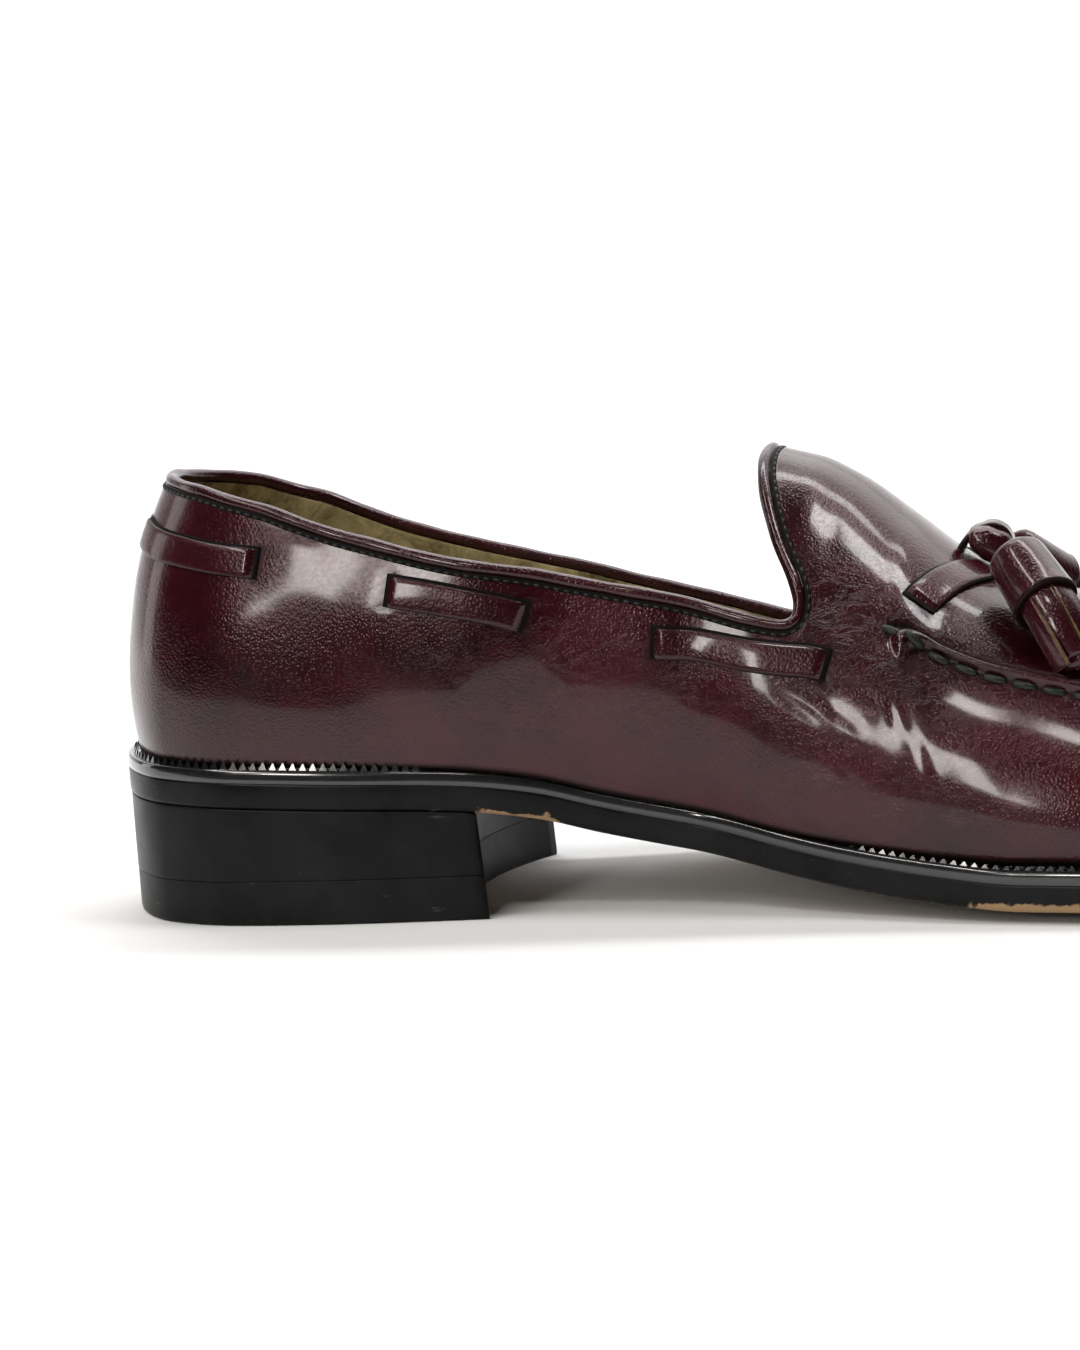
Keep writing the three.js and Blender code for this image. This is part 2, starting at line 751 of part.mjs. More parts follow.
function upper() {
  const count = skin.corners.length;
  const outer = skin.corners.map((p, i) => p.clone().addScaledVector(skin.normals[i], skin.raise[i]));
  const inner = skin.corners.map((p, i) => p.clone().addScaledVector(skin.normals[i], -upperWall));
  const faces = [...skin.faces, ...skin.faces.map(([a, b, c]) => [a + count, c + count, b + count])];
  const rim = (side, a, b) => {
    const turned = side === LATERAL ? [b, a] : [a, b];
    faces.push([turned[0], turned[0] + count, turned[1] + count],
      [turned[0], turned[1] + count, turned[1]]);
  };
  for (const side of [MEDIAL, LATERAL]) {
    for (let i = 0; i < columnCount - 1; i++) {
      rim(side, skin.corner(side, i, 0), skin.corner(side, i + 1, 0));
      const top = rowCount - 1;
      if (!upperGrid[side][i + 1].column.onRidge || !upperGrid[side][i].column.onRidge) {
        rim(side, skin.corner(side, i + 1, top), skin.corner(side, i, top));
      }
    }
  }
  return body([...outer, ...inner], faces);
}

// The rolled binding runs round the opening and over the tongue as one closed cord of leather
const tongueColumn = collarSteps + cornerSteps + tongueSteps;
function collarBinding() {
  const top = rowCount - 1;
  const radius = bindingDiameter / 2;
  const sides = 8;
  const middle = (side, i, j) => {
    const id = skin.corner(side, i, j);
    return skin.corners[id].clone().addScaledVector(skin.normals[id], -upperWall / 2);
  };
  const stops = [];
  for (let i = 0; i < tongueColumn; i++) stops.push([MEDIAL, i]);
  for (let i = tongueColumn; i > 0; i--) stops.push([LATERAL, i]);
  const rims = stops.map(([side, i]) => middle(side, i, top));
  const rings = stops.map(([side, i], k) => {
    const before = rims[(k + rims.length - 1) % rims.length];
    const after = rims[(k + 1) % rims.length];
    const along = new THREE.Vector3().subVectors(after, before).normalize();
    const up = new THREE.Vector3().crossVectors(skin.normals[skin.corner(side, i, top)], along)
      .normalize();
    const across = new THREE.Vector3().crossVectors(along, up);
    const centre = rims[k].clone().addScaledVector(up, radius + drapeGap);
    return Array.from({ length: sides }, (_, n) => {
      const angle = (2 * Math.PI * n) / sides;
      return centre.clone().addScaledVector(up, radius * Math.cos(angle))
        .addScaledVector(across, radius * Math.sin(angle));
    });
  });
  return loft(rings, true);
}

// How far the outside of the upper stands above a point, along a direction
const upperSolid = upper();
const upperMesh = new THREE.Mesh(upperSolid);
const rayReach = 12;
function rise(point, direction) {
  const from = point.clone().addScaledVector(direction, rayReach);
  const hit = new THREE.Raycaster(from, direction.clone().negate(), 0, 2 * rayReach)
    .intersectObject(upperMesh)[0];
  return hit ? rayReach - hit.distance : -rayReach;
}

// A flat leather band through places that each have a point and an outward direction. It
// follows the upper if it rests there, and else only stays clear of it.
function band(stops, width, thickness, shares, rests) {
  const rings = stops.map(({ point, normal }, k) => {
    const before = stops[Math.max(k - 1, 0)].point;
    const after = stops[Math.min(k + 1, stops.length - 1)].point;
    const along = new THREE.Vector3().subVectors(after, before).normalize();
    const across = new THREE.Vector3().crossVectors(along, normal).normalize();
    const up = new THREE.Vector3().crossVectors(across, along).normalize();
    const low = shares.map((share) => {
      const place = point.clone().addScaledVector(across, share * width);
      const height = rise(place, up);
      return place.addScaledVector(up, rests ? height + drapeGap : Math.max(height + looseGap, 0));
    });
    const high = low.map((place) => place.clone().addScaledVector(up, thickness));
    return [...low, ...high.reverse()];
  });
  return loft(rings);
}

// Places on the last between two of its places
const restingOn = (side, from, to, count) => Array.from({ length: count + 1 }, (_, i) => frameOn(
  side,
  from.u + (to.u - from.u) * (i / count),
  from.theta + (to.theta - from.theta) * (i / count),
));
const strapSteps = 9;
const strapShares = [-0.5, 0, 0.5];
const stripShares = [-0.5, 0.5];

// The lace shows three times on each side, between slots: ends by share of the length and
// of the rise that they follow
const laceRows = table(['name', 'share', 'rise', 'part', 'endShare', 'endRise', 'endPart', 'lateral'], [
  ['rear', 0.031, backRise, 0.820, 0.125, backRise, 0.735, 0.94],
  ['middle', 0.215, backRise, 0.640, 0.304, sideRise, 0.810, 0.84],
  ['front', 0.387, sideRise, 0.810, 0.498, sideRise, 0.855, 0.77],
]);
function lace(side, row) {
  const place = (share, rise) => {
    const x = soleLength * share;
    return locate(side, x, seat(x) + rise * (side === LATERAL ? row.lateral : 1));
  };
  const stops = restingOn(side, place(row.share, row.rise * row.part),
    place(row.endShare, row.endRise * row.endPart), strapSteps);
  return band(stops, laceWidth, laceThickness, strapShares, true);
}

// Between the front slots a wider strap crosses the vamp to the knot
const knotShare = 0.590;
const strapStart = { share: 0.5535, part: 0.652 };
const strapEndShare = 0.599;
const strapEndClear = 1.4;
function vampStrap(side) {
  const uEnd = uAtShareOfRidge(strapEndShare);
  const knotEdge = thetaBeside(side, uEnd, knotWidth / 2 + strapEndClear);
  const x = soleLength * strapStart.share;
  const from = locate(side, x, seat(x) + instepRise * strapStart.part);
  const stops = restingOn(side, from, { u: uEnd, theta: knotEdge }, strapSteps);
  return band(stops, strapWidth, laceThickness, strapShares, true);
}

// How far up a section lies at this distance beside the top line
const lowestBeside = 0.4;
const halvings = 30;
function thetaBeside(side, u, distance) {
  let low = lowestBeside;
  let high = 1;
  const middleLine = last(side, u, 1).y;
  for (let turn = 0; turn < halvings; turn++) {
    const middle = (low + high) / 2;
    if (Math.abs(last(side, u, middle).y - middleLine) > distance) low = middle;
    else high = middle;
  }
  return low;
}

// Closed solids that are joined into one
function toSolid(geometry) {
  const bare = geometry.clone();
  bare.deleteAttribute('normal');
  bare.deleteAttribute('uv');
  const merged = mergeVertices(bare, 1e-4);
  return new wasm.Manifold(new wasm.Mesh({
    numProp: 3,
    vertProperties: new Float32Array(merged.attributes.position.array),
    triVerts: new Uint32Array(merged.index.array),
  }));
}

function fromSolid(solid) {
  const mesh = solid.getMesh();
  const geometry = new THREE.BufferGeometry();
  geometry.setAttribute('position', new THREE.Float32BufferAttribute(mesh.vertProperties, 3));
  geometry.setIndex(Array.from(mesh.triVerts));
  return geometry;
}

const fused = (pieces) => fromSolid(pieces.map(toSolid).reduce((whole, piece) => whole.add(piece)));

// The knot: a rounded core across the vamp, wrapped once lengthwise by the lace
const knotCoreRows = table(['across', 'size', 'drop'], [
  [-0.50, 0.62, 0.55], [-0.38, 0.86, 0.28], [-0.16, 1.00, 0.04],
  [0.16, 1.00, 0.04], [0.38, 0.86, 0.28], [0.50, 0.62, 0.55],
]);
const knotSides = 10;
const wrapSteps = 12;
function knot() {
  const { point, normal } = frameOn(MEDIAL, uAtShareOfRidge(knotShare), 0.999);
  const along = new THREE.Vector3(1, 0, ridgeSlope(point.x)).normalize();
  const across = new THREE.Vector3(0, 1, 0);
  const up = new THREE.Vector3().crossVectors(along, across).normalize();
  const base = point.clone().addScaledVector(up, knotLift);
  const at = (a, b, c) => base.clone().addScaledVector(along, a).addScaledVector(across, b)
    .addScaledVector(up, c);
  const core = loft(knotCoreRows.map((row) => Array.from({ length: knotSides }, (_, n) => {
    const angle = (2 * Math.PI * n) / knotSides;
    return at(knotLength * knotCoreShare * row.size * Math.cos(angle), knotWidth * row.across,
      (knotHeight / 2) * (1 + row.size * Math.sin(angle)) - row.drop);
  })));
  const wrap = loft(Array.from({ length: wrapSteps + 1 }, (_, n) => {
    const angle = Math.PI * (n / wrapSteps);
    const ring = (grow, beside) => at(-(knotLength / 2 + grow) * Math.cos(angle), beside,
      (knotHeight + laceThickness + grow) * Math.sin(angle));
    const half = laceWidth / 2;
    return [ring(-laceThickness, -half), ring(-laceThickness, half), ring(0, half), ring(0, -half)];
  }));
  return fused([core, wrap]);
}

// A tassel lies on the vamp: a barrel open at its lower end, with strips coming out of it
const tasselRows = {
  [MEDIAL]: { headShare: 0.6146, headBeside: 16.9, headLift: 2.5, tipShare: 0.660, tipPart: 0.828 },
  [LATERAL]: { headShare: 0.6017, headBeside: 24.2, headLift: 0, tipShare: 0.6515, tipPart: 0.70 },
};
const barrelSides = 14;
const barrelHead = table(['radius', 'depth'], [[0, 0], [0.78, 0.005], [0.95, 0.05], [1, 0.14]]);
const stripSteps = 6;
const stripLayers = table(['count', 'inside', 'lift', 'aside'], [
  [3, -0.42, 0, 0.25],
  [3, 0.30, 1, -0.25],
]);
function tassel(side) {
  const row = tasselRows[side];
  const uHead = uAtShareOfRidge(row.headShare);
  const from = { u: uHead, theta: thetaBeside(side, uHead, row.headBeside) };
  const xTip = soleLength * row.tipShare;
  const to = locate(side, xTip, seat(xTip) + vampRise * row.tipPart);
  const head = frameOn(side, from.u, from.theta);
  const tip = frameOn(side, to.u, to.theta);
  const reach = barrelLength / (barrelLength + fringeLength);
  const rim = frameOn(side, from.u + (to.u - from.u) * reach,
    from.theta + (to.theta - from.theta) * reach);
  const start = head.point.clone()
    .addScaledVector(head.normal, barrelHeadRadius + 2 * fitGap + row.headLift);
  const rimAim = rim.point.clone().addScaledVector(rim.normal, barrelRimRadius + 2 * fitGap);
  const axis = new THREE.Vector3().subVectors(rimAim, start).normalize();
  const end = start.clone().addScaledVector(axis, barrelLength);
  const inner = barrelRimRadius - barrelWall;
  const profile = [
    ...barrelHead.map(({ radius, depth }) => (
      new THREE.Vector2(barrelHeadRadius * radius, barrelLength * depth))),
    new THREE.Vector2(barrelRimRadius, barrelLength),
    new THREE.Vector2(inner, barrelLength),
    new THREE.Vector2(inner * recessShare, barrelLength - barrelRecess),
    new THREE.Vector2(0, barrelLength - barrelRecess),
  ];
  const barrel = new THREE.LatheGeometry(profile, barrelSides);
  const turn = new THREE.Quaternion().setFromUnitVectors(new THREE.Vector3(0, 1, 0), axis);
  barrel.applyQuaternion(turn);
  barrel.translate(start.x, start.y, start.z);
  const up = rim.normal.clone().addScaledVector(axis, -rim.normal.dot(axis)).normalize();
  const across = new THREE.Vector3().crossVectors(axis, up).normalize();
  const strips = [];
  for (const layer of stripLayers) {
    for (let n = 0; n < layer.count; n++) {
      const beside = n - (layer.count - 1) / 2 + layer.aside;
      const tuck = inner * fringeTuck * beside;
      const stops = [];
      const root = end.clone().addScaledVector(axis, -barrelRecess * fringeFlare)
        .addScaledVector(up, inner * layer.inside).addScaledVector(across, tuck);
      const goal = tip.point.clone()
        .addScaledVector(tip.normal, 2 * fitGap + layer.lift * (fringeThickness + fitGap))
        .addScaledVector(across, fringeSpread * beside);
      const bend = end.clone().addScaledVector(axis, fringeLength * fringeBend)
        .addScaledVector(up, inner * layer.inside * fringeGather)
        .addScaledVector(across, tuck * fringeFlare);
      const path = new THREE.QuadraticBezierCurve3(root, bend, goal);
      for (let k = 0; k <= stripSteps; k++) {
        const t = k / stripSteps;
        stops.push({ point: path.getPoint(t), normal: up.clone().lerp(tip.normal, t) });
      }
      strips.push(band(stops, fringeWidth, fringeThickness, stripShares, false));
    }
  }
  return fused([barrel, ...strips]);
}

const leather = { color: 0x3a0d14, roughness: 0.25, metalness: 0 };
const blackEdge = { color: 0x161414, roughness: 0.35, metalness: 0 };
const tan = { color: 0xa9824f, roughness: 0.7, metalness: 0 };

const shoe = new THREE.Group();
shoe.position.x = -heelRestX;

function addPiece(name, geometry, look) {
  geometry.computeVertexNormals();
  const mesh = new THREE.Mesh(geometry, new THREE.MeshStandardMaterial(look));
  mesh.name = name;
  shoe.add(mesh);
}

addPiece('outsole', outsole(), blackEdge);
addPiece('welt', welt(), blackEdge);
addPiece('heel_stack', heelStack(), blackEdge);
addPiece('top_lift', topLift(), blackEdge);
addPiece('insole', insole(), tan);
addPiece('upper', upperSolid, leather);
addPiece('collar_binding', collarBinding(), leather);
for (const [side, name] of [[MEDIAL, 'medial'], [LATERAL, 'lateral']]) {
  for (const row of laceRows) addPiece(`lace_${row.name}_${name}`, lace(side, row), leather);
  addPiece(`vamp_strap_${name}`, vampStrap(side), leather);
  addPiece(`tassel_${name}`, tassel(side), leather);
}
addPiece('knot', knot(), leather);

const model = new THREE.Group();
model.add(shoe);
export default model;
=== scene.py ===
# %% [markdown]
# # A tassel loafer
# The real shoe is a slip-on of polished oxblood calf. Its upper is pulled over a last, sewn to a
# welt and stands on a leather sole with a stacked heel. A flat leather lace runs through slots
# round the collar and ends on the vamp in a knot with two fringed tassels.
# The CAD frame gives every size. Here each faceted solid but the insole gets a fine, smooth twin
# that is worked out from the same section tables, because leather shows every facet in its gloss.

# %% Load the frame
import math
import bmesh
import bpy
import numpy as np
from mathutils import Matrix, Vector
from mathutils.bvhtree import BVHTree


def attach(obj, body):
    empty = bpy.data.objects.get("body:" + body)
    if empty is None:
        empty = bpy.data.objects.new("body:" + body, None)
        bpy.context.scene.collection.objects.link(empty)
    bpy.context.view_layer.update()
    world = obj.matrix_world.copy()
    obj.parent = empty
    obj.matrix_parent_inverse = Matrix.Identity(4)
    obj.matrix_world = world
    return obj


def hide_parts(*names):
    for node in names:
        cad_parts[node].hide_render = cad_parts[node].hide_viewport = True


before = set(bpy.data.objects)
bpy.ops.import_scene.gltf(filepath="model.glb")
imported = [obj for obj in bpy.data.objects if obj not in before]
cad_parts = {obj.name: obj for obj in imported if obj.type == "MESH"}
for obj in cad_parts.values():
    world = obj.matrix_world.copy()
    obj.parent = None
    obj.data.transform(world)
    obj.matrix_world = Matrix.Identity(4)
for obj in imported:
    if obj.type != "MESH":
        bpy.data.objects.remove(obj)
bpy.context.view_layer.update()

# %% [markdown]
# ## Sizes and section tables
# A last maker describes a shoe by its length, ball width, instep and heel height, and by
# sections along it. The same sizes and tables as in the frame are written here in millimetres,
# with x from the back of the heel, so that each fine piece lies where its solid lies.

# %% Sizes of the shoe
SOLE_LENGTH, BALL_WIDTH, WAIST_WIDTH, SEAT_WIDTH = 304.0, 105.0, 65.0, 69.0
HEEL_HEIGHT, TOE_SPRING, TREAD_EDGE = 25.0, 13.0, 2.2
OUTSOLE, WELT, GAP = 5.2, 2.5, 0.3
HEEL_LENGTH, TOP_LIFT, HEEL_INSET, HEEL_TAPER = 80.0, 9.0, 0.2, 0.1
BREAST_HOLLOW, BREAST_LEAN, REST_X = 9.0, 1.2, 38.0
BACK_RISE, SIDE_RISE, INSTEP_RISE, VAMP_RISE, TOE_RISE = 55.5, 40.0, 71.5, 42.0, 29.0
TOE_SWING, WALL, MARGIN_UNIT = 5.0, 2.0, 34.0
MEDIAL, LATERAL = -1, 1
SIDES = {MEDIAL: "medial", LATERAL: "lateral"}
print("shoe", SOLE_LENGTH, "mm long,", BALL_WIDTH, "mm wide at the ball")

# %% Smooth curves through table rows
def gentle_slopes(at, value):
    """Slopes that never overshoot the rows."""
    slope = np.zeros(len(at))
    for i in range(1, len(at) - 1):
        before, after = at[i] - at[i - 1], at[i + 1] - at[i]
        rise, step = (value[i] - value[i - 1]) / before, (value[i + 1] - value[i]) / after
        if rise * step > 0:
            a, b = 2 * after + before, after + 2 * before
            slope[i] = (a + b) / (a / rise + b / step)
    return slope


def smooth_curve(at, value, parity=None):
    """A curve through rows; a parity mirrors it at both ends."""
    at, value = [float(v) for v in at], [float(v) for v in value]
    if parity is not None:
        at = [2 * at[0] - at[1]] + at + [2 * at[-1] - at[-2]]
        value = [parity * value[1]] + value + [parity * value[-2]]
    slope = gentle_slopes(at, value)
    if parity is None:
        slope[0] = (value[1] - value[0]) / (at[1] - at[0])
        slope[-1] = (value[-1] - value[-2]) / (at[-1] - at[-2])
    at, value = np.array(at), np.array(value)

    def curve(where):
        x = np.clip(where, at[0], at[-1])
        i = np.clip(np.searchsorted(at, x, side="left") - 1, 0, len(at) - 2)
        step = at[i + 1] - at[i]
        t = (x - at[i]) / step
        return (value[i] * (2 * t**3 - 3 * t**2 + 1) + slope[i] * step * (t**3 - 2 * t**2 + t)
                + value[i + 1] * (3 * t**2 - 2 * t**3) + slope[i + 1] * step * (t**3 - t**2))
    return curve


def eased(value):
    """0 to 1 with a soft start and a soft end."""
    v = np.clip(value, 0, 1)
    return v * v * (3 - 2 * v)


def share_at(u):
    """Share of the length at a place u of the outline, which crowds at both ends."""
    return (1 - np.cos(np.pi * np.asarray(u, float))) / 2


def u_at_share(share):
    """The place of a share of the length."""
    return np.arccos(1 - 2 * np.clip(share, 0, 1)) / np.pi


# %% The outline of the sole
OUTLINE = [  # share of the length, width followed, inner share, outer share
    (0.000, SEAT_WIDTH, 0.000, 0.000), (0.012, SEAT_WIDTH, 0.228, 0.228),
    (0.045, SEAT_WIDTH, 0.402, 0.402), (0.100, SEAT_WIDTH, 0.485, 0.485),
    (0.170, SEAT_WIDTH, 0.500, 0.500), (0.260, SEAT_WIDTH, 0.480, 0.500),
    (0.330, WAIST_WIDTH, 0.455, 0.545), (0.400, WAIST_WIDTH, 0.462, 0.590),
    (0.460, BALL_WIDTH, 0.340, 0.390), (0.530, BALL_WIDTH, 0.405, 0.438),
    (0.610, BALL_WIDTH, 0.470, 0.480), (0.690, BALL_WIDTH, 0.500, 0.500),
    (0.770, BALL_WIDTH, 0.487, 0.484), (0.850, BALL_WIDTH, 0.430, 0.424),
    (0.920, BALL_WIDTH, 0.340, 0.334), (0.970, BALL_WIDTH, 0.224, 0.220),
    (0.990, BALL_WIDTH, 0.134, 0.132), (1.000, BALL_WIDTH, 0.000, 0.000)]
outline_u = [u_at_share(row[0]) for row in OUTLINE]
half_width = {
    MEDIAL: smooth_curve(outline_u, [row[1] * row[2] for row in OUTLINE], -1),
    LATERAL: smooth_curve(outline_u, [row[1] * row[3] for row in OUTLINE], -1)}


def swing(x):
    """The forepart turns a little towards the inner side."""
    share = np.maximum(0, np.asarray(x, float) / SOLE_LENGTH - 0.5) / 0.5
    return -TOE_SWING * share * share


def edge(side, u):
    """A point of the outline of the sole, seen from above."""
    x = SOLE_LENGTH * share_at(u)
    return np.stack([x, side * half_width[side](u) + swing(x)], -1)


def outward(side, u):
    """The level direction out of the edge of the sole."""
    u = np.asarray(u, float)
    step = 0.003
    before, after = edge(side, u - step), edge(side, u + step)
    low, high = u - step < 0, u + step > 1
    before[..., 0] = np.where(low, after[..., 0], before[..., 0])
    before[..., 1] = np.where(low, -after[..., 1], before[..., 1])
    after[..., 0] = np.where(high, before[..., 0], after[..., 0])
    after[..., 1] = np.where(high, 2 * swing(SOLE_LENGTH) - before[..., 1], after[..., 1])
    run = after - before
    run = run / np.linalg.norm(run, axis=-1, keepdims=True)
    return np.stack([-run[..., 1], run[..., 0]], -1) * side


def inset_edge(side, u, inset):
    """The outline drawn in by an inset."""
    return edge(side, u) - outward(side, u) * np.asarray(inset)[..., None]


print("outline rows", len(OUTLINE))

# %% The underside
PROFILE = [  # share, heel height, toe spring, rise of the edges
    (0.000, 1.000, 0.00, 0.00), (0.155, 0.930, 0.00, 0.00), (0.255, 0.870, 0.00, 0.00),
    (0.300, 0.750, 0.00, 0.35), (0.340, 0.610, 0.00, 0.45), (0.420, 0.395, 0.00, 0.55),
    (0.505, 0.165, 0.00, 0.75), (0.570, 0.050, 0.00, 0.90), (0.620, 0.000, 0.00, 1.00),
    (0.730, 0.000, 0.00, 1.00), (0.820, 0.000, 0.14, 0.90), (0.910, 0.000, 0.48, 0.60),
    (1.000, 0.000, 1.00, 0.30)]
heel_share, toe_share, edge_share = (
    smooth_curve([row[0] for row in PROFILE], [row[k] for row in PROFILE]) for k in (1, 2, 3))


def underside(x):
    """Level of the middle of the underside."""
    share = np.asarray(x, float) / SOLE_LENGTH
    return HEEL_HEIGHT * heel_share(share) + TOE_SPRING * toe_share(share)


def edge_rise(x):
    """How much higher the underside is at its edges."""
    return TREAD_EDGE * edge_share(np.asarray(x, float) / SOLE_LENGTH)


def outsole_top(x):
    """Top of the outsole at its edge."""
    return underside(x) + edge_rise(x) + OUTSOLE


def welt_top(x):
    return outsole_top(x) + GAP + WELT


def seat(x):
    """Level at which the upper stands on the welt."""
    return welt_top(x) + GAP


print("arch stands", round(float(underside(0.42 * SOLE_LENGTH)), 1), "mm over the floor")

# %% The sections of the last
LAST = [  # share, ridge, out inner, out outer, up, spread, margin inner, margin outer, seam
    (0.00, 0.130, 0.050, 0.050, 0.42, 0.25, 0.080, 0.080, 0.50),
    (0.06, 0.150, 0.050, 0.050, 0.43, 0.26, 0.080, 0.080, 0.50),
    (0.16, 0.200, 0.052, 0.052, 0.44, 0.26, 0.075, 0.075, 0.50),
    (0.30, 0.303, 0.095, 0.070, 0.46, 0.26, 0.010, 0.060, 0.50),
    (0.39, 0.390, 0.097, 0.070, 0.46, 0.25, 0.005, 0.060, 0.50),
    (0.46, 0.460, 0.085, 0.065, 0.46, 0.23, 0.015, 0.075, 0.51),
    (0.51, 0.511, 0.072, 0.060, 0.43, 0.23, 0.055, 0.090, 0.52),
    (0.56, 0.562, 0.060, 0.052, 0.38, 0.27, 0.085, 0.100, 0.54),
    (0.62, 0.622, 0.048, 0.045, 0.32, 0.35, 0.110, 0.110, 0.57),
    (0.70, 0.695, 0.040, 0.038, 0.27, 0.37, 0.120, 0.120, 0.58),
    (0.79, 0.765, 0.034, 0.034, 0.25, 0.35, 0.120, 0.120, 0.58),
    (0.88, 0.815, 0.030, 0.030, 0.24, 0.33, 0.120, 0.120, 0.57),
    (0.95, 0.843, 0.030, 0.030, 0.23, 0.31, 0.120, 0.120, 0.56),
    (1.00, 0.853, 0.030, 0.030, 0.23, 0.30, 0.120, 0.120, 0.55)]
last_u = [u_at_share(row[0]) for row in LAST]
(ridge_along, out_medial, out_lateral, swell_up, top_spread, margin_medial, margin_lateral,
 seam_share) = (smooth_curve(last_u, [row[k] for row in LAST], 1) for k in range(1, 9))
swell_out = {MEDIAL: out_medial, LATERAL: out_lateral}
welt_margin = {MEDIAL: margin_medial, LATERAL: margin_lateral}
RIDGE = [  # share of the length, rise followed, share of it
    (0.100, BACK_RISE, 1.36), (0.200, BACK_RISE, 1.40), (0.303, BACK_RISE, 1.42),
    (0.390, INSTEP_RISE, 1.075), (0.460, INSTEP_RISE, 1.000), (0.487, INSTEP_RISE, 0.990),
    (0.512, INSTEP_RISE, 0.950), (0.553, INSTEP_RISE, 0.840), (0.580, INSTEP_RISE, 0.755),
    (0.625, VAMP_RISE, 1.150), (0.690, VAMP_RISE, 1.005), (0.770, VAMP_RISE, 0.865),
    (0.853, TOE_RISE, 1.000)]
ridge_rise = smooth_curve([row[0] for row in RIDGE], [row[1] * row[2] for row in RIDGE])


def ridge_height(x):
    """Level of the top line of the last."""
    return seat(x) + ridge_rise(np.asarray(x, float) / SOLE_LENGTH)


def ridge_slope(x):
    return (ridge_height(x + 1) - ridge_height(x - 1)) / 2


print("sections", len(LAST), "and ridge rows", len(RIDGE))

# %% A point of the last
def last(side, u, theta):
    """theta runs from 0 at the welt to 1 at the top line."""
    u, theta = np.broadcast_arrays(np.asarray(u, float), np.asarray(theta, float))
    out = outward(side, u)
    foot = inset_edge(side, u, MARGIN_UNIT * welt_margin[side](u))
    foot_z = seat(foot[..., 0])
    ridge_x = SOLE_LENGTH * ridge_along(u)
    ridge_y, ridge_z = swing(ridge_x), ridge_height(ridge_x)
    swell, spread = BALL_WIDTH * swell_out[side](u), BALL_WIDTH * top_spread(u)
    rise = ridge_rise(ridge_x / SOLE_LENGTH) * swell_up(u)
    p0 = np.stack([foot[..., 0], foot[..., 1], foot_z], -1)
    p1 = np.stack([foot[..., 0] + out[..., 0] * swell, foot[..., 1] + out[..., 1] * swell,
                   foot_z + rise], -1)
    p2 = np.stack([ridge_x + out[..., 0] * spread, ridge_y + out[..., 1] * spread,
                   ridge_z + out[..., 0] * spread * ridge_slope(ridge_x)], -1)
    p3 = np.stack([ridge_x, ridge_y, ridge_z], -1)
    t = theta[..., None]
    return (1 - t)**3 * p0 + 3 * (1 - t)**2 * t * p1 + 3 * (1 - t) * t**2 * p2 + t**3 * p3


def unit(vectors):
    """The same directions with a length of 1."""
    return vectors / np.maximum(np.linalg.norm(vectors, axis=-1, keepdims=True), 1e-12)


def normal_on(side, u, theta):
    """The direction straight out of the last."""
    step = 1e-3
    along_u = last(side, np.minimum(u + step, 1), theta) - last(side, u - step, theta)
    along_t = last(side, u, np.minimum(theta + step, 1)) - last(side, u, theta - step)
    return unit(np.cross(along_u, along_t)) * -side


def locate(side, x, z):
    """Where on the last a point of the side view lies."""
    x, z = np.atleast_1d(np.asarray(x, float)), np.atleast_1d(np.asarray(z, float))
    u, theta, step = u_at_share(x / SOLE_LENGTH), np.full(x.shape, 0.55), 1e-4
    for _ in range(40):
        here = last(side, u, theta)
        by_u = (last(side, u + step, theta) - here) / step
        by_t = (last(side, u, theta + step) - here) / step
        dx, dz = x - here[..., 0], z - here[..., 2]
        scale = by_u[..., 0] * by_t[..., 2] - by_u[..., 2] * by_t[..., 0]
        move_u = (dx * by_t[..., 2] - dz * by_t[..., 0]) / scale
        move_t = (dz * by_u[..., 0] - dx * by_u[..., 2]) / scale
        u = np.clip(u + np.clip(move_u, -0.05, 0.05), 0, 1)
        theta = np.clip(theta + np.clip(move_t, -0.1, 0.1), 0, 1)
    return u, theta


print("instep stands", round(float(last(MEDIAL, u_at_share(0.46), 1.0)[2]), 1), "mm high")

# %% [markdown]
# ## The collar line
# The opening of a loafer runs low under the ankle, turns at the throat and climbs over the
# tongue. Its places are given in the side view and then found on the last, so that the edge
# lies in the surface however the last curves.

# %% Places of the collar
COLLAR = {  # share of the length, rise followed, share of it
    MEDIAL: [(0.0640, BACK_RISE, 0.982), (0.1130, BACK_RISE, 0.930), (0.1895, BACK_RISE, 0.805),
             (0.2760, SIDE_RISE, 1.000), (0.3500, SIDE_RISE, 1.015), (0.4180, SIDE_RISE, 1.000),
             (0.4520, SIDE_RISE, 0.980), (0.4700, SIDE_RISE, 0.985), (0.4810, SIDE_RISE, 1.030),
             (0.4855, SIDE_RISE, 1.120), (0.4835, SIDE_RISE, 1.220), (0.4727, SIDE_RISE, 1.380),
             (0.4640, SIDE_RISE, 1.550), (0.4588, SIDE_RISE, 1.690)],
    LATERAL: [(0.0640, BACK_RISE, 0.960), (0.1130, BACK_RISE, 0.875), (0.1895, BACK_RISE, 0.715),
              (0.2760, SIDE_RISE, 0.850), (0.3500, SIDE_RISE, 0.825), (0.4180, SIDE_RISE, 0.780),
              (0.4520, SIDE_RISE, 0.765), (0.4710, SIDE_RISE, 0.775), (0.4830, SIDE_RISE, 0.830),
              (0.4880, SIDE_RISE, 0.935), (0.4865, SIDE_RISE, 1.050), (0.4760, SIDE_RISE, 1.280),
              (0.4655, SIDE_RISE, 1.510), (0.4590, SIDE_RISE, 1.680)]}
TONGUE_TOP = 0.460


def u_at_ridge(share):
    """The column whose top end is at this share of the length."""
    fine = np.linspace(0, 1, 4001)
    return float(np.interp(share, ridge_along(fine), fine))


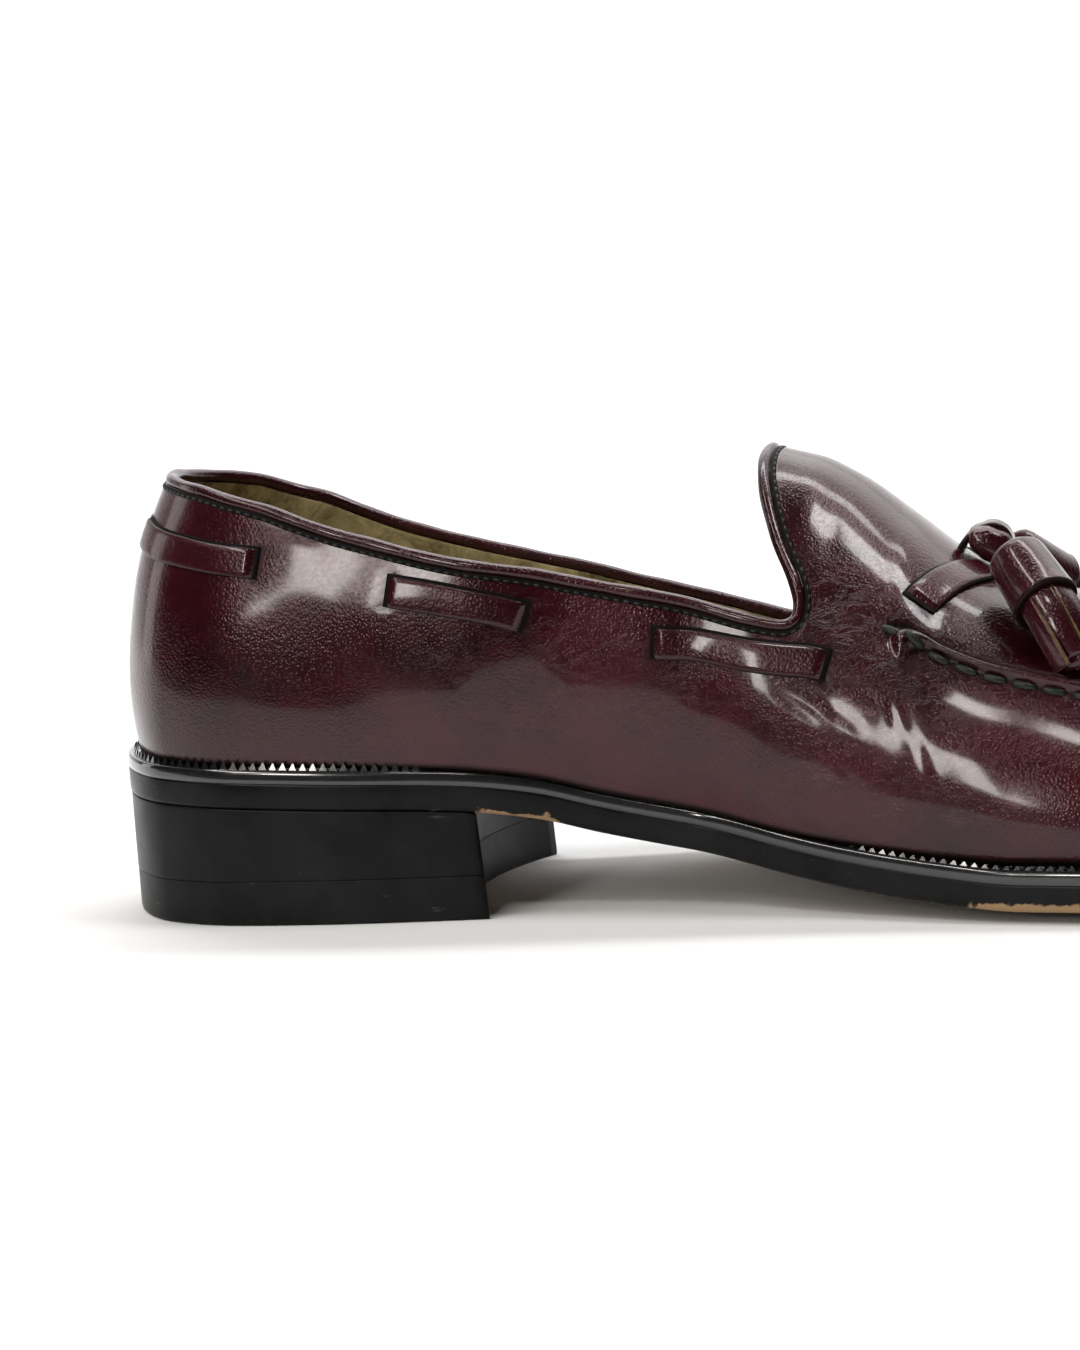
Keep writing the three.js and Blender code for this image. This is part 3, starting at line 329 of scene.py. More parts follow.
def theta_at_back():
    """The height on the last that the collar has at the back."""
    fine = np.linspace(0, 1, 2001)
    points = last(MEDIAL, np.zeros_like(fine), fine)
    return float(np.interp(BACK_RISE, points[:, 2] - seat(points[:, 0]), fine))


def collar_places(side):
    """u and theta of the collar line, from the back to the tongue."""
    rows = COLLAR[side]
    x = SOLE_LENGTH * np.array([row[0] for row in rows])
    u, theta = locate(side, x, seat(x) + np.array([row[1] * row[2] for row in rows]))
    u = np.concatenate([[0], u, [u_at_ridge(TONGUE_TOP)]])
    return np.stack([u, np.concatenate([[theta_at_back()], theta, [1]])], -1)


def path_through(points, t):
    """A centripetal curve through points, as a maker's spline would run."""
    count = len(points)
    p = np.clip((count - 1) * np.asarray(t, float), 0, count - 1)
    i = np.minimum(p.astype(int), count - 2)
    w = (p - i)[:, None]
    extended = np.vstack([2 * points[0] - points[1], points, 2 * points[-1] - points[-2]])
    p0, p1, p2, p3 = (extended[i + k] for k in range(4))
    d0, d1, d2 = (np.sqrt(np.linalg.norm(b - a, axis=1, keepdims=True))
                  for a, b in ((p0, p1), (p1, p2), (p2, p3)))
    m1 = ((p1 - p0) / d0 - (p2 - p0) / (d0 + d1) + (p2 - p1) / d1) * d1
    m2 = ((p2 - p1) / d1 - (p3 - p1) / (d1 + d2) + (p3 - p2) / d2) * d1
    return (p1 + m1 * w + (-3 * p1 + 3 * p2 - 2 * m1 - m2) * w**2
            + (2 * p1 - 2 * p2 + m1 + m2) * w**3)


def even_along(side, places, start, end, count):
    """Evenly spaced places along a stretch of the collar."""
    t = (start + (end - start) * np.linspace(0, 1, 400)) / (len(places) - 1)
    path = path_through(places, t)
    path[:, 1] = np.minimum(path[:, 1], 1)
    points = last(side, path[:, 0], path[:, 1])
    length = np.concatenate([[0], np.cumsum(np.linalg.norm(np.diff(points, axis=0), axis=1))])
    wanted = np.linspace(0, length[-1], count + 1)
    return np.stack([np.interp(wanted, length, path[:, k]) for k in (0, 1)], -1)


print("collar places", {SIDES[side]: len(rows) for side, rows in COLLAR.items()})

# %% Columns and rows of the upper
COLLAR_STEPS, CORNER_STEPS, TONGUE_STEPS, TOE_STEPS = 108, 36, 40, 100
CORNER_FROM, CORNER_TO, TOE_CROWDING, COLUMN_BEND = 7, 11, 1.25, 1.7
u_corner, u_tongue_edge, u_vamp = u_at_share(0.452), u_at_share(0.515), u_at_share(0.630)


def spaced(start, end, count):
    """Even places from start, without the end."""
    return start + (end - start) * np.arange(count) / count


toe_run = (np.arange(TOE_STEPS + 1) / TOE_STEPS) ** TOE_CROWDING
foot_u = np.concatenate([spaced(0, u_corner, COLLAR_STEPS),
                         spaced(u_corner, u_tongue_edge, CORNER_STEPS),
                         spaced(u_tongue_edge, u_vamp, TONGUE_STEPS),
                         u_vamp + (1 - u_vamp) * toe_run])


def top_places(side):
    """u and theta at the top of each column."""
    places = collar_places(side)
    collar = even_along(side, places, 0, CORNER_FROM, COLLAR_STEPS)
    corner = even_along(side, places, CORNER_FROM, CORNER_TO, CORNER_STEPS)
    tongue = even_along(side, places, CORNER_TO, len(places) - 1, TONGUE_STEPS)
    u_tongue = tongue[-1, 0]
    ridge = np.stack([u_tongue + (1 - u_tongue) * toe_run[1:], np.ones(TOE_STEPS)], -1)
    return np.vstack([collar, corner[1:], tongue[1:], ridge])


tops = {side: top_places(side) for side in SIDES}
RIM_COLUMNS = COLLAR_STEPS + CORNER_STEPS + TONGUE_STEPS


def place_in(side, t):
    """u and theta for each column (first axis) at its heights t (second axis)."""
    top = tops[side]
    u = foot_u[:, None] + (top[:, 0] - foot_u)[:, None] * t**COLUMN_BEND
    return u, top[:, 1][:, None] * t


print("columns round the collar", RIM_COLUMNS, "of", len(foot_u))

# %% [markdown]
# ## The apron seam
# A moccasin-type vamp is sewn by hand: the side leather is gathered up against the plug and
# stands as a lip with a groove beside it. The rows of the mesh gather along that seam, so a few
# rows are enough to carry it.

# %% Rows gathered along the seam
LIP = np.array([  # place across the seam, growing towards the plug, and height over the last
    (-2.4, -0.30), (-1.9, -0.25), (-1.5, 0.20), (-1.1, 0.85), (-0.7, 1.30), (-0.2, 1.55),
    (0.3, 1.50), (0.7, 1.20), (1.0, 0.45), (1.25, -0.40), (1.5, -0.70), (1.8, -0.50),
    (2.4, -0.12), (3.6, 0.0), (6.4, 0.0)])
LIP_OFFSETS, LIP_HEIGHTS = LIP.T
LOW_ROWS, HIGH_ROWS = 26, 30


def upper_rows(side):
    """Heights of the rows in each column, the height of the lip there and where the seam is."""
    t = np.full(len(foot_u), 0.5)
    for _ in range(20):
        u, _theta = place_in(side, t[:, None])
        t = np.minimum(seam_share(u[:, 0]) / tops[side][:, 1], 0.8)
    u, _theta = place_in(side, t[:, None])
    share = share_at(u[:, 0])
    strength = eased((share - 0.536) / 0.016)
    gather = eased((share - 0.490) / 0.090)
    step = 0.01
    ahead = last(side, *place_in(side, (t + step)[:, None]))[:, 0]
    behind = last(side, *place_in(side, (t - step)[:, None]))[:, 0]
    pace = np.linalg.norm(ahead - behind, axis=1) / (2 * step)
    lip_t = t[:, None] + LIP_OFFSETS[None, :] / pace[:, None]
    low = lip_t[:, :1] * (np.arange(LOW_ROWS) / LOW_ROWS)[None, :]
    high_run = np.arange(1, HIGH_ROWS + 1) / HIGH_ROWS
    high = lip_t[:, -1:] + (1 - lip_t[:, -1:]) * high_run[None, :]
    rows = np.concatenate([low, lip_t, high], axis=1)
    even = np.linspace(0, 1, rows.shape[1])[None, :]
    rows = even + (rows - even) * gather[:, None]
    height = np.zeros_like(rows)
    height[:, LOW_ROWS:LOW_ROWS + len(LIP_OFFSETS)] = LIP_HEIGHTS[None, :] * strength[:, None]
    return rows, height, t


print("columns", len(foot_u), "rows", LOW_ROWS + len(LIP_OFFSETS) + HIGH_ROWS)

# %% [markdown]
# ## Making meshes
# Every piece is a plain mesh in the frame's place, in metres. One helper makes the object,
# smooths it, gives it its finish and tells the frame which body it rides on and which solids
# it stands for. Grids of points become faces in a second helper.

# %% Mesh helpers
finishes = {}


def make_piece(name, points, faces, slots, face_slot=None, stands_for=()):
    """A smooth mesh object from points in millimetres, x from the back of the heel."""
    mesh = bpy.data.meshes.new(name)
    place = (np.asarray(points, float) - [REST_X, 0, 0]) / 1000
    mesh.from_pydata(place.tolist(), [], faces if isinstance(faces, list) else faces.tolist())
    for slot in slots:
        mesh.materials.append(finishes[slot])
    if face_slot is not None:
        mesh.polygons.foreach_set("material_index", np.asarray(face_slot, np.int32))
    mesh.update()
    obj = bpy.data.objects.new(name, mesh)
    bpy.context.scene.collection.objects.link(obj)
    recalculate(mesh)
    mesh.shade_smooth()
    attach(obj, "root")
    if stands_for:
        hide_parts(*stands_for)
    triangles = sum(len(p.vertices) - 2 for p in mesh.polygons)
    print(f"{name}: {triangles} triangles")
    return obj


def recalculate(mesh):
    """Merges doubles and turns all faces outwards."""
    bm = bmesh.new()
    bm.from_mesh(mesh)
    bmesh.ops.remove_doubles(bm, verts=bm.verts, dist=1e-7)
    bmesh.ops.recalc_face_normals(bm, faces=bm.faces)
    bm.to_mesh(mesh)
    bm.free()


def grid_faces(rings, around, closed_rings):
    """Quads between rings of points."""
    i = np.arange(rings if closed_rings else rings - 1)
    k = np.arange(around)
    i, k = np.meshgrid(i, k, indexing="ij")
    ni, nk = (i + 1) % rings, (k + 1) % around
    quads = np.stack([i * around + k, i * around + nk, ni * around + nk, ni * around + k], -1)
    return quads.reshape(-1, 4).tolist()


def loft(rings, closed_rings=False):
    """Points and faces of a loft through rings, with a fan at each open end."""
    rings = np.asarray(rings, float)
    count, around = rings.shape[:2]
    points = rings.reshape(-1, 3)
    faces = grid_faces(count, around, closed_rings)
    if not closed_rings:
        for ring, turn in ((0, False), (count - 1, True)):
            points = np.vstack([points, rings[ring].mean(axis=0)])
            centre = len(points) - 1
            for k in range(around):
                a, b = ring * around + k, ring * around + (k + 1) % around
                faces.append([centre, b, a] if turn else [centre, a, b])
    return points, faces


def paint(obj, name, values):
    """A value at each vertex, which a finish can read."""
    layer = obj.data.attributes.new(name, "FLOAT", "POINT")
    layer.data.foreach_set("value", np.asarray(values, np.float32))


# %% [markdown]
# ## Finishes
# Polished calf is a dark red pigment under a clear wax. Light goes through the wax twice, so the
# colour stays deep and the gloss sits on top: in Blender this is a dark base colour, a fine
# grain in the bump and a coat. Each finish is built by a few short helpers, and each pattern
# reads the object's own coordinates in metres, so that grain keeps its real size.

# %% Helpers for finishes
class Finish:
    """A Principled material with short calls for its patterns."""

    def __init__(self, name, **sockets):
        self.material = bpy.data.materials.new(name)
        self.material.use_nodes = True
        self.tree = self.material.node_tree
        self.shader = next(n for n in self.tree.nodes if n.type == "BSDF_PRINCIPLED")
        self.place = self.add("ShaderNodeTexCoord").outputs["Object"]
        for socket, value in sockets.items():
            self.shader.inputs[socket.replace("_", " ")].default_value = value
        finishes[name] = self.material

    def add(self, kind, **props):
        node = self.tree.nodes.new(kind)
        for key, value in props.items():
            setattr(node, key, value)
        return node

    def feed(self, source, socket):
        """Links an output to an input."""
        self.tree.links.new(source, socket)

    def stretched(self, x, y, z):
        """The place scaled along each axis."""
        node = self.add("ShaderNodeMapping")
        self.feed(self.place, node.inputs["Vector"])
        node.inputs["Scale"].default_value = (x, y, z)
        return node.outputs["Vector"]

    def noise(self, scale, detail=3.0, rough=0.55, warp=0.0, vector=None):
        node = self.add("ShaderNodeTexNoise")
        self.feed(vector or self.place, node.inputs["Vector"])
        for socket, value in (("Scale", scale), ("Detail", detail), ("Roughness", rough),
                              ("Distortion", warp)):
            node.inputs[socket].default_value = value
        return node.outputs["Fac"]

    def cells(self, scale):
        node = self.add("ShaderNodeTexVoronoi", feature="F1")
        self.feed(self.place, node.inputs["Vector"])
        node.inputs["Scale"].default_value = scale
        return node.outputs["Distance"]

    def painted(self, name):
        """A value painted on the mesh, 0 where there is none."""
        return self.add("ShaderNodeAttribute", attribute_name=name).outputs["Fac"]

    def span(self, source, low, high, to_low=0.0, to_high=1.0):
        """Maps low..high to another span and holds it there."""
        node = self.add("ShaderNodeMapRange")
        self.feed(source, node.inputs["Value"])
        for socket, value in (("From Min", low), ("From Max", high), ("To Min", to_low),
                              ("To Max", to_high)):
            node.inputs[socket].default_value = value
        return node.outputs["Result"]

    def combine(self, a, b, operation="ADD"):
        """Arithmetic with outputs or plain numbers."""
        node = self.add("ShaderNodeMath", operation=operation)
        for k, value in enumerate((a, b)):
            if isinstance(value, (int, float)):
                node.inputs[k].default_value = value
            else:
                self.feed(value, node.inputs[k])
        return node.outputs["Value"]

    def blend(self, share, a, b):
        """Mixes two colours by a share."""
        node = self.add("ShaderNodeMix", data_type="RGBA")
        self.feed(share, node.inputs["Factor"])
        for socket, value in ((node.inputs[6], a), (node.inputs[7], b)):
            if isinstance(value, tuple):
                socket.default_value = (*value, 1.0)
            else:
                self.feed(value, socket)
        return node.outputs[2]

    def colour(self, source):
        self.feed(source, self.shader.inputs["Base Color"])

    def roughness(self, source):
        self.feed(source, self.shader.inputs["Roughness"])

    def relief(self, *layers):
        """Bumps one after another: (height, strength, depth in metres)."""
        normal = None
        for height, strength, depth in layers:
            node = self.add("ShaderNodeBump")
            node.inputs["Strength"].default_value = strength
            node.inputs["Distance"].default_value = depth
            self.feed(height, node.inputs["Height"])
            if normal:
                self.feed(normal, node.inputs["Normal"])
            normal = node.outputs["Normal"]
        self.feed(normal, self.shader.inputs["Normal"])


# %% [markdown]
# Three leathers share one recipe: the smooth upper, the lace, which is the same skin cut thin,
# and the rolled edge. A painted value turns them black: dye on the edges of the lace and knot,
# and painted shade in the slots, in the groove beside the apron lip, at the foot of the upper and
# in the tassel mouths. Another brings out the fine wrinkles where the shoe has flexed.

# %% Gloss and fine folds of leather
def leather_gloss(finish, gloss):
    """Wax: worn in places, thin where the edge value paints dye and shade, and duller in the creases."""
    dye_and_shade_mark = finish.painted("edge")
    finish.feed(finish.span(dye_and_shade_mark, 0, 1, 0.45, 0.04), finish.shader.inputs["Coat Weight"])
    finish.feed(finish.span(dye_and_shade_mark, 0, 1, 0.32, 0.08), finish.shader.inputs["Specular IOR Level"])
    worn = finish.span(finish.noise(90, 4), 0.3, 0.75, gloss, gloss + 0.10)
    dull = finish.combine(finish.combine(dye_and_shade_mark, 0.30, "MULTIPLY"),
                          finish.combine(finish.painted("creased"), 0.05, "MULTIPLY"))
    finish.roughness(finish.combine(worn, dull))


def fine_folds(finish):
    """Thin winding lines, only where the leather is painted as creased."""
    folds = finish.noise(170, 4, 0.60, 1.2, finish.stretched(1.0, 1.0, 1.9))
    from_middle = finish.combine(finish.combine(folds, 0.5, "SUBTRACT"), 0.0, "ABSOLUTE")
    veins = finish.span(from_middle, 0.0, 0.05)
    return finish.combine(veins, finish.painted("creased"), "MULTIPLY")


# %% Polished oxblood leather
# Black for dyed edges and for painted shade.
DYE_AND_SHADE_BLACK, GLOSS_TINT = (0.0035, 0.0025, 0.0025), (1.0, 0.72, 0.74, 1.0)


def polished_leather(name, deep, lit, grain, gloss):
    """Cloudy oxblood from deep to lit, with pores, fine folds and long waves; black where dye and shade
    are painted.
    """
    finish = Finish(name, Coat_Roughness=0.10, Specular_Tint=GLOSS_TINT)
    cloud = finish.span(finish.noise(26, 4), 0.36, 0.70)
    mottle = finish.span(finish.noise(210, 3), 0.35, 0.80, 0.0, 0.30)
    tone = finish.blend(finish.combine(cloud, mottle), deep, lit)
    # Dye and painted shade: the edge value turns the colour black.
    finish.colour(finish.blend(finish.painted("edge"), tone, DYE_AND_SHADE_BLACK))
    leather_gloss(finish, gloss)
    pores = finish.span(finish.cells(1500), 0, 0.6)
    grained = finish.combine(finish.noise(1100, 2), pores)
    waves = finish.noise(46, 2)
    finish.relief((grained, 0.30 * grain, 0.00018), (fine_folds(finish), 0.55, 0.00050),
                  (waves, 0.20, 0.0006))


polished_leather("oxblood_leather", (0.0105, 0.0006, 0.0020), (0.046, 0.0040, 0.0085), 1.0, 0.20)
polished_leather("oxblood_lace", (0.0140, 0.0012, 0.0030), (0.050, 0.0060, 0.0105), 1.1, 0.21)
polished_leather("oxblood_binding", (0.0110, 0.0010, 0.0025), (0.036, 0.0045, 0.0080), 1.2, 0.22)
print("leathers", sorted(finishes))

# %% Lining, raw edges, thread
lining = Finish("lining_leather", Roughness=0.78, Specular_IOR_Level=0.25)
fibre = lining.noise(300, 6, 0.72, 0.8, lining.stretched(0.6, 1.0, 0.55))
lining.colour(lining.blend(lining.span(fibre, 0.3, 0.72), (0.085, 0.066, 0.024), (0.60, 0.50, 0.26)))
lining.relief((fibre, 0.8, 0.0006), (lining.noise(1800, 2), 0.3, 0.0002))

raw = Finish("raw_edge_leather", Roughness=0.72, Specular_IOR_Level=0.3)
strands = raw.noise(1300, 4, 0.7, 0.0, raw.stretched(1.0, 1.0, 0.5))
raw.colour(raw.blend(raw.span(strands, 0.3, 0.7), (0.040, 0.020, 0.010), (0.21, 0.120, 0.055)))
raw.relief((strands, 0.5, 0.0003))

# Near-black for the painted shade under the laces and under the bead; under a lace it also stands for the
# dyed lower edge.
dyed = Finish("black_dye_and_shade", Roughness=0.55, Specular_IOR_Level=0.08)
dyed_grain = dyed.noise(900, 3)
dyed.colour(dyed.blend(dyed_grain, (0.0015, 0.0012, 0.0012), (0.0065, 0.0045, 0.0045)))
dyed.relief((dyed_grain, 0.4, 0.0002))

thread = Finish("waxed_thread", Roughness=0.42, Specular_IOR_Level=0.3, Coat_Weight=0.08)
twist = thread.noise(2600, 2)
thread.colour(thread.blend(twist, (0.0025, 0.003, 0.0025), (0.018, 0.021, 0.017)))
thread.relief((twist, 0.6, 0.00025))
print("finishes so far", len(finishes))

# %% [markdown]
# The sole edge is dyed black and burnished over stacked leather, so it is nearly smooth, with
# faint level lines and a few grey scuffs. Where the edge has rubbed, tan leather shows through
# with a ragged outline. The welt is waxed and shines most. The tread is leather that has been
# walked on, and the lowest lift of the heel is rubber.

# %% Sole and heel finishes
SCUFF_GREY, BARE_TAN = (0.16, 0.155, 0.15), (0.33, 0.215, 0.115)


def dressed_edge(name, base, lit, lines, gloss):
    """Black dressing over layers, rubbed through where the piece is painted as worn."""
    finish = Finish(name, Specular_IOR_Level=0.10, Coat_Weight=0.04, Coat_Roughness=0.20)
    layers = finish.noise(lines, 2, 0.5, 0.0, finish.stretched(0.05, 0.05, 1.0))
    cloud = finish.span(finish.noise(75, 4), 0.35, 0.7)
    tone = finish.blend(cloud, base, lit)
    nicks = finish.span(finish.noise(260, 5, 0.6, 0.0, finish.stretched(0.5, 0.5, 1.6)), 0.66, 0.76)
    worn = finish.painted("worn")
    ragged = finish.combine(worn, finish.span(finish.noise(420, 4, 0.6), 0.3, 0.7, -0.35, 0.35))
    rubbed = finish.combine(finish.span(ragged, 0.42, 0.62), finish.span(worn, 0, 0.1), "MULTIPLY")
    scuffed = finish.blend(finish.combine(nicks, 0.35, "MULTIPLY"), tone, SCUFF_GREY)
    finish.colour(finish.blend(rubbed, scuffed, BARE_TAN))
    finish.roughness(finish.span(cloud, 0, 1, gloss, gloss + 0.16))
    finish.relief((layers, 0.03, 0.0002), (finish.noise(900, 3), 0.12, 0.00015),
                  (finish.combine(nicks, rubbed), 0.2, 0.0002))


dressed_edge("black_sole_edge", (0.0045, 0.0045, 0.005), (0.012, 0.0115, 0.012), 900, 0.24)
dressed_edge("black_heel_edge", (0.0050, 0.0050, 0.0052), (0.013, 0.0125, 0.013), 700, 0.30)
dressed_edge("black_top_lift", (0.0055, 0.0055, 0.0056), (0.013, 0.013, 0.0135), 1200, 0.36)

waxed = Finish("waxed_welt", Roughness=0.20, Specular_IOR_Level=0.45, Coat_Weight=0.9, Coat_Roughness=0.07)
wax_cloud = waxed.noise(300, 3)
waxed.colour(waxed.blend(wax_cloud, (0.004, 0.004, 0.0045), (0.016, 0.016, 0.017)))
waxed.relief((wax_cloud, 0.10, 0.0003))

tread = Finish("tread_leather", Roughness=0.7, Specular_IOR_Level=0.3)
scrape = tread.noise(120, 6, 0.68, 0.3, tread.stretched(0.35, 1.0, 1.0))
tread.colour(tread.blend(tread.span(scrape, 0.3, 0.7), (0.065, 0.047, 0.034), (0.27, 0.18, 0.105)))
tread.relief((scrape, 0.5, 0.0005), (tread.noise(1500, 3), 0.3, 0.0002))

insole_finish = Finish("insole_leather", Roughness=0.55, Specular_IOR_Level=0.35)
foot_print = insole_finish.noise(34, 4)
insole_finish.colour(insole_finish.blend(insole_finish.span(foot_print, 0.35, 0.7),
                                         (0.16, 0.105, 0.052), (0.34, 0.245, 0.135)))
insole_finish.relief((insole_finish.cells(1300), 0.25, 0.0002), (foot_print, 0.3, 0.0006))
print("finishes", sorted(finishes))

# %% [markdown]
# ## Creases and slots
# A worn loafer shows where it bends. Each main crease is placed in the side view, as a
# soft trough with a low ridge at each side, and the slots of the lace are pressed in lightly.
# They move the surface along its normal, so light breaks on them as on the real leather.

# %% Where the lace runs
LACES = [  # name, share, rise followed, share of it, the same at the far end, drop on the outer side
    ("rear", 0.031, BACK_RISE, 0.820, 0.125, BACK_RISE, 0.735, 0.94),
    ("middle", 0.215, BACK_RISE, 0.640, 0.304, SIDE_RISE, 0.810, 0.84),
    ("front", 0.387, SIDE_RISE, 0.810, 0.498, SIDE_RISE, 0.855, 0.77)]
LACE_WIDTH, LACE_THICKNESS, STRAP_WIDTH, KNOT_SHARE = 6.2, 1.6, 7.0, 0.590
STRAP_START, STRAP_END_SHARE, STRAP_END_BESIDE = (0.5570, 0.656), 0.599, 7.4


def lace_ends(side, row):
    """u and theta of both slots of a lace."""
    ends = []
    for share, rise in ((row[1], row[2] * row[3]), (row[4], row[5] * row[6])):
        x = SOLE_LENGTH * share
        u, theta = locate(side, x, seat(x) + rise * (row[7] if side == LATERAL else 1))
        ends.append((float(u[0]), float(theta[0])))
    return ends


def theta_beside(side, u, distance):
    """The height on the last that lies this far to the side of its ridge."""
    fine = np.linspace(0.4, 1, 600)
    points = last(side, np.full_like(fine, u), fine)
    beside = np.abs(points[:, 1] - points[-1, 1])
    return float(np.interp(-distance, -beside, fine))


def strap_ends(side):
    """u and theta of the front slot and of the end at the knot."""
    x = SOLE_LENGTH * STRAP_START[0]
    u, theta = locate(side, x, seat(x) + INSTEP_RISE * STRAP_START[1])
    u_end = u_at_ridge(STRAP_END_SHARE)
    return (float(u[0]), float(theta[0])), (u_end, theta_beside(side, u_end, STRAP_END_BESIDE))


print("laces on each side", [row[0] for row in LACES])

# %% Creases
CREASES = [  # x and z where each starts and ends, depth, half width
    (93.4, 55.7, 97.0, 51.2, 0.05, 0.7), (97.2, 51.4, 101.0, 46.4, 0.05, 0.7),
    (101.3, 46.8, 106.2, 41.2, 0.04, 0.8),
    (151.5, 51.2, 161.0, 46.6, 0.05, 1.0), (152.5, 47.6, 164.0, 40.6, 0.07, 1.1),
    (149.0, 43.6, 160.5, 35.0, 0.06, 1.2), (140.0, 45.0, 151.5, 37.2, 0.05, 1.1),
    (155.5, 49.6, 163.5, 44.6, 0.04, 0.8), (144.5, 46.0, 155.0, 39.5, 0.04, 0.9),
    (165.8, 45.2, 168.4, 34.6, 0.08, 0.9), (168.6, 36.0, 171.4, 24.2, 0.05, 0.9),
    (171.8, 45.0, 174.2, 34.0, 0.05, 0.9), (163.2, 43.5, 165.0, 36.5, 0.05, 0.8),
    (146.0, 59.2, 157.0, 56.9, 0.05, 0.9), (149.0, 62.4, 160.5, 60.2, 0.05, 0.9),
    (147.5, 55.6, 158.0, 53.4, 0.05, 0.8), (151.0, 66.0, 160.0, 63.2, 0.04, 1.0),
    (153.0, 58.6, 163.0, 57.4, 0.05, 0.8), (150.0, 53.3, 157.0, 50.9, 0.04, 0.8),
    (143.0, 18.2, 151.5, 15.4, 0.09, 1.6), (152.0, 31.0, 158.5, 24.6, 0.04, 1.2)]
VAMP_CREASES = [  # x and y of both ends, across the vamp where the toes bend
    (187.0, -18.0, 190.5, 16.0, 0.22, 2.4), (198.5, -26.0, 202.0, 22.0, 0.30, 2.8),
    (208.0, -20.0, 211.0, 18.0, 0.30, 2.2)]


def groove(points, a, b, depth, width):
    """A trough along a line with a ridge at each side, fading at its ends."""
    run = b - a
    length = np.linalg.norm(run)
    t = ((points - a) @ run) / length**2
    nearest = a + np.clip(t, 0, 1)[..., None] * run
    off = np.linalg.norm(points - nearest, axis=-1) / width
    fade = eased(np.clip(np.minimum(t, 1 - t), 0, 1) * 3.2)
    return fade * depth * (-np.exp(-off**2) + 0.42 * np.exp(-((off - 1.9) ** 2)))


def creases_on(side, points):
    """Height of all creases at each point."""
    height = np.zeros(points.shape[:-1])
    for k, (x0, z0, x1, z1, depth, width) in enumerate(CREASES):
        if side == LATERAL:
            x0, x1, z0, z1 = x0 + 2.5 - (k % 4), x1 + 2.5 - (k % 3), z0 - 1.5, z1 - 1.5
        u, theta = locate(side, [x0, x1], [z0, z1])
        a, b = last(side, u, theta)
        near = np.linalg.norm(points - (a + b) / 2, axis=-1) < np.linalg.norm(b - a) + 4 * width
        height[near] += groove(points[near], a, b, depth, width)
    for x0, y0, x1, y1, depth, width in VAMP_CREASES:
        a = np.array([x0, y0, ridge_height(x0) - y0**2 / 75])
        b = np.array([x1, y1, ridge_height(x1) - y1**2 / 75])
        middle = np.array([(x0 + x1) / 2, (y0 + y1) / 2, ridge_height((x0 + x1) / 2)])
        height += groove(points, a, middle, depth * 0.6, width)
        height += groove(points, middle, b, depth * 0.6, width)
    return height


print("creases", len(CREASES), "on the sides and", len(VAMP_CREASES), "across the vamp")

# %% Slots of the lace
slot_places = {side: [] for side in SIDES}
for side in SIDES:
    for row in LACES:
        (u0, t0), (u1, t1) = lace_ends(side, row)
        slot_places[side] += [(u0, t0, u1, t1), (u1, t1, u0, t0)]
    (u0, t0), (u1, t1) = strap_ends(side)
    slot_places[side].append((u0, t0, u1, t1))


def slots_on(side, points):
    """How strongly each point lies in a slot: 1 in the middle of it."""
    held = np.zeros(points.shape[:-1])
    for u0, t0, u1, t1 in slot_places[side]:
        here, there = last(side, u0, t0), last(side, u1, t1)
        along = unit(there - here)
        normal = normal_on(side, np.array(u0), np.array(t0))
        across = unit(np.cross(along, normal))
        off = points - (here - along * 0.2)
        a, c = off @ along, off @ across
        reach = np.exp(-(a / 1.0) ** 2) * eased((4.6 - np.abs(c)) / 1.4)
        held = np.maximum(held, reach * (np.abs(off @ normal) < 8))
    return held


print("slots", {SIDES[side]: len(places) for side, places in slot_places.items()})

# %% [markdown]
# ## The upper
# The upper is one wall: an outer skin, the lining 2 mm inside it, and cut edges that join the
# two at the collar and at the welt. Its columns fan out from the throat, so they follow the
# way that the real leather is pulled over the last.

# %% Relief of the outer skin
SLOT_PRESS = 0.10


def slack(points):
    """Leather is never quite fair: long, low waves in it."""
    x, y, z = points[..., 0], points[..., 1], points[..., 2]
    return (0.16 * np.sin(x / 9.0 + y / 13.0) * np.sin(z / 8.0 + x / 21.0)
            + 0.10 * np.sin(x / 4.7 + 1.3) * np.sin(z / 5.2 + y / 9.0))


def soft_patch(points, x, z, long, high):
    """1 in the middle of a patch of the side view, fading round it."""
    return np.exp(-(((points[..., 0] - x) / long) ** 2 + ((points[..., 2] - z) / high) ** 2))


def upper_side(side):
    """One side of the outer skin: its points, normals, relief, painted creases and painted shade."""
    rows, height, _seam = upper_rows(side)
    u, theta = place_in(side, rows)
    points, normals = last(side, u, theta), normal_on(side, u, theta)
    out = outward(side, foot_u)
    normals[:, 0] = np.stack([out[:, 0], out[:, 1], np.zeros(len(out))], -1)
    rim = np.arange(len(foot_u)) <= RIM_COLUMNS
    from_rim = np.where(rim[:, None], 1 - np.linspace(0, 1, rows.shape[1])[None, :], 1.0)
    calm = eased(from_rim / 0.08) * eased(rows / 0.04)
    slots = slots_on(side, points)
    lift = height + calm * (slack(points) + creases_on(side, points)) - SLOT_PRESS * slots
    creased = soft_patch(points, 156, 54, 16, 9) + 0.55 * soft_patch(points, 168, 36, 20, 13)
    creased = np.clip(creased + 0.25 * soft_patch(points, 100, 48, 26, 13), 0, 1)
    # Painted shade, kept as the edge value: dark in the slots, along the foot where the upper tucks in
    # over the welt, and in the groove beside the apron lip.
    foot_shade = eased((0.034 - rows) / 0.016)
    painted_shade = np.clip(slots * 0.6 + foot_shade * 0.95, 0, 1)
    painted_shade = np.maximum(painted_shade, np.clip(-height / 0.55, 0, 1) * 0.9)
    return dict(points=points, normals=normals, lift=lift, creased=creased, edge=painted_shade)


skin = {side: upper_side(side) for side in SIDES}
row_count = skin[MEDIAL]["points"].shape[1]
column_count = len(foot_u)
print("grid of the skin", column_count, "by", row_count)

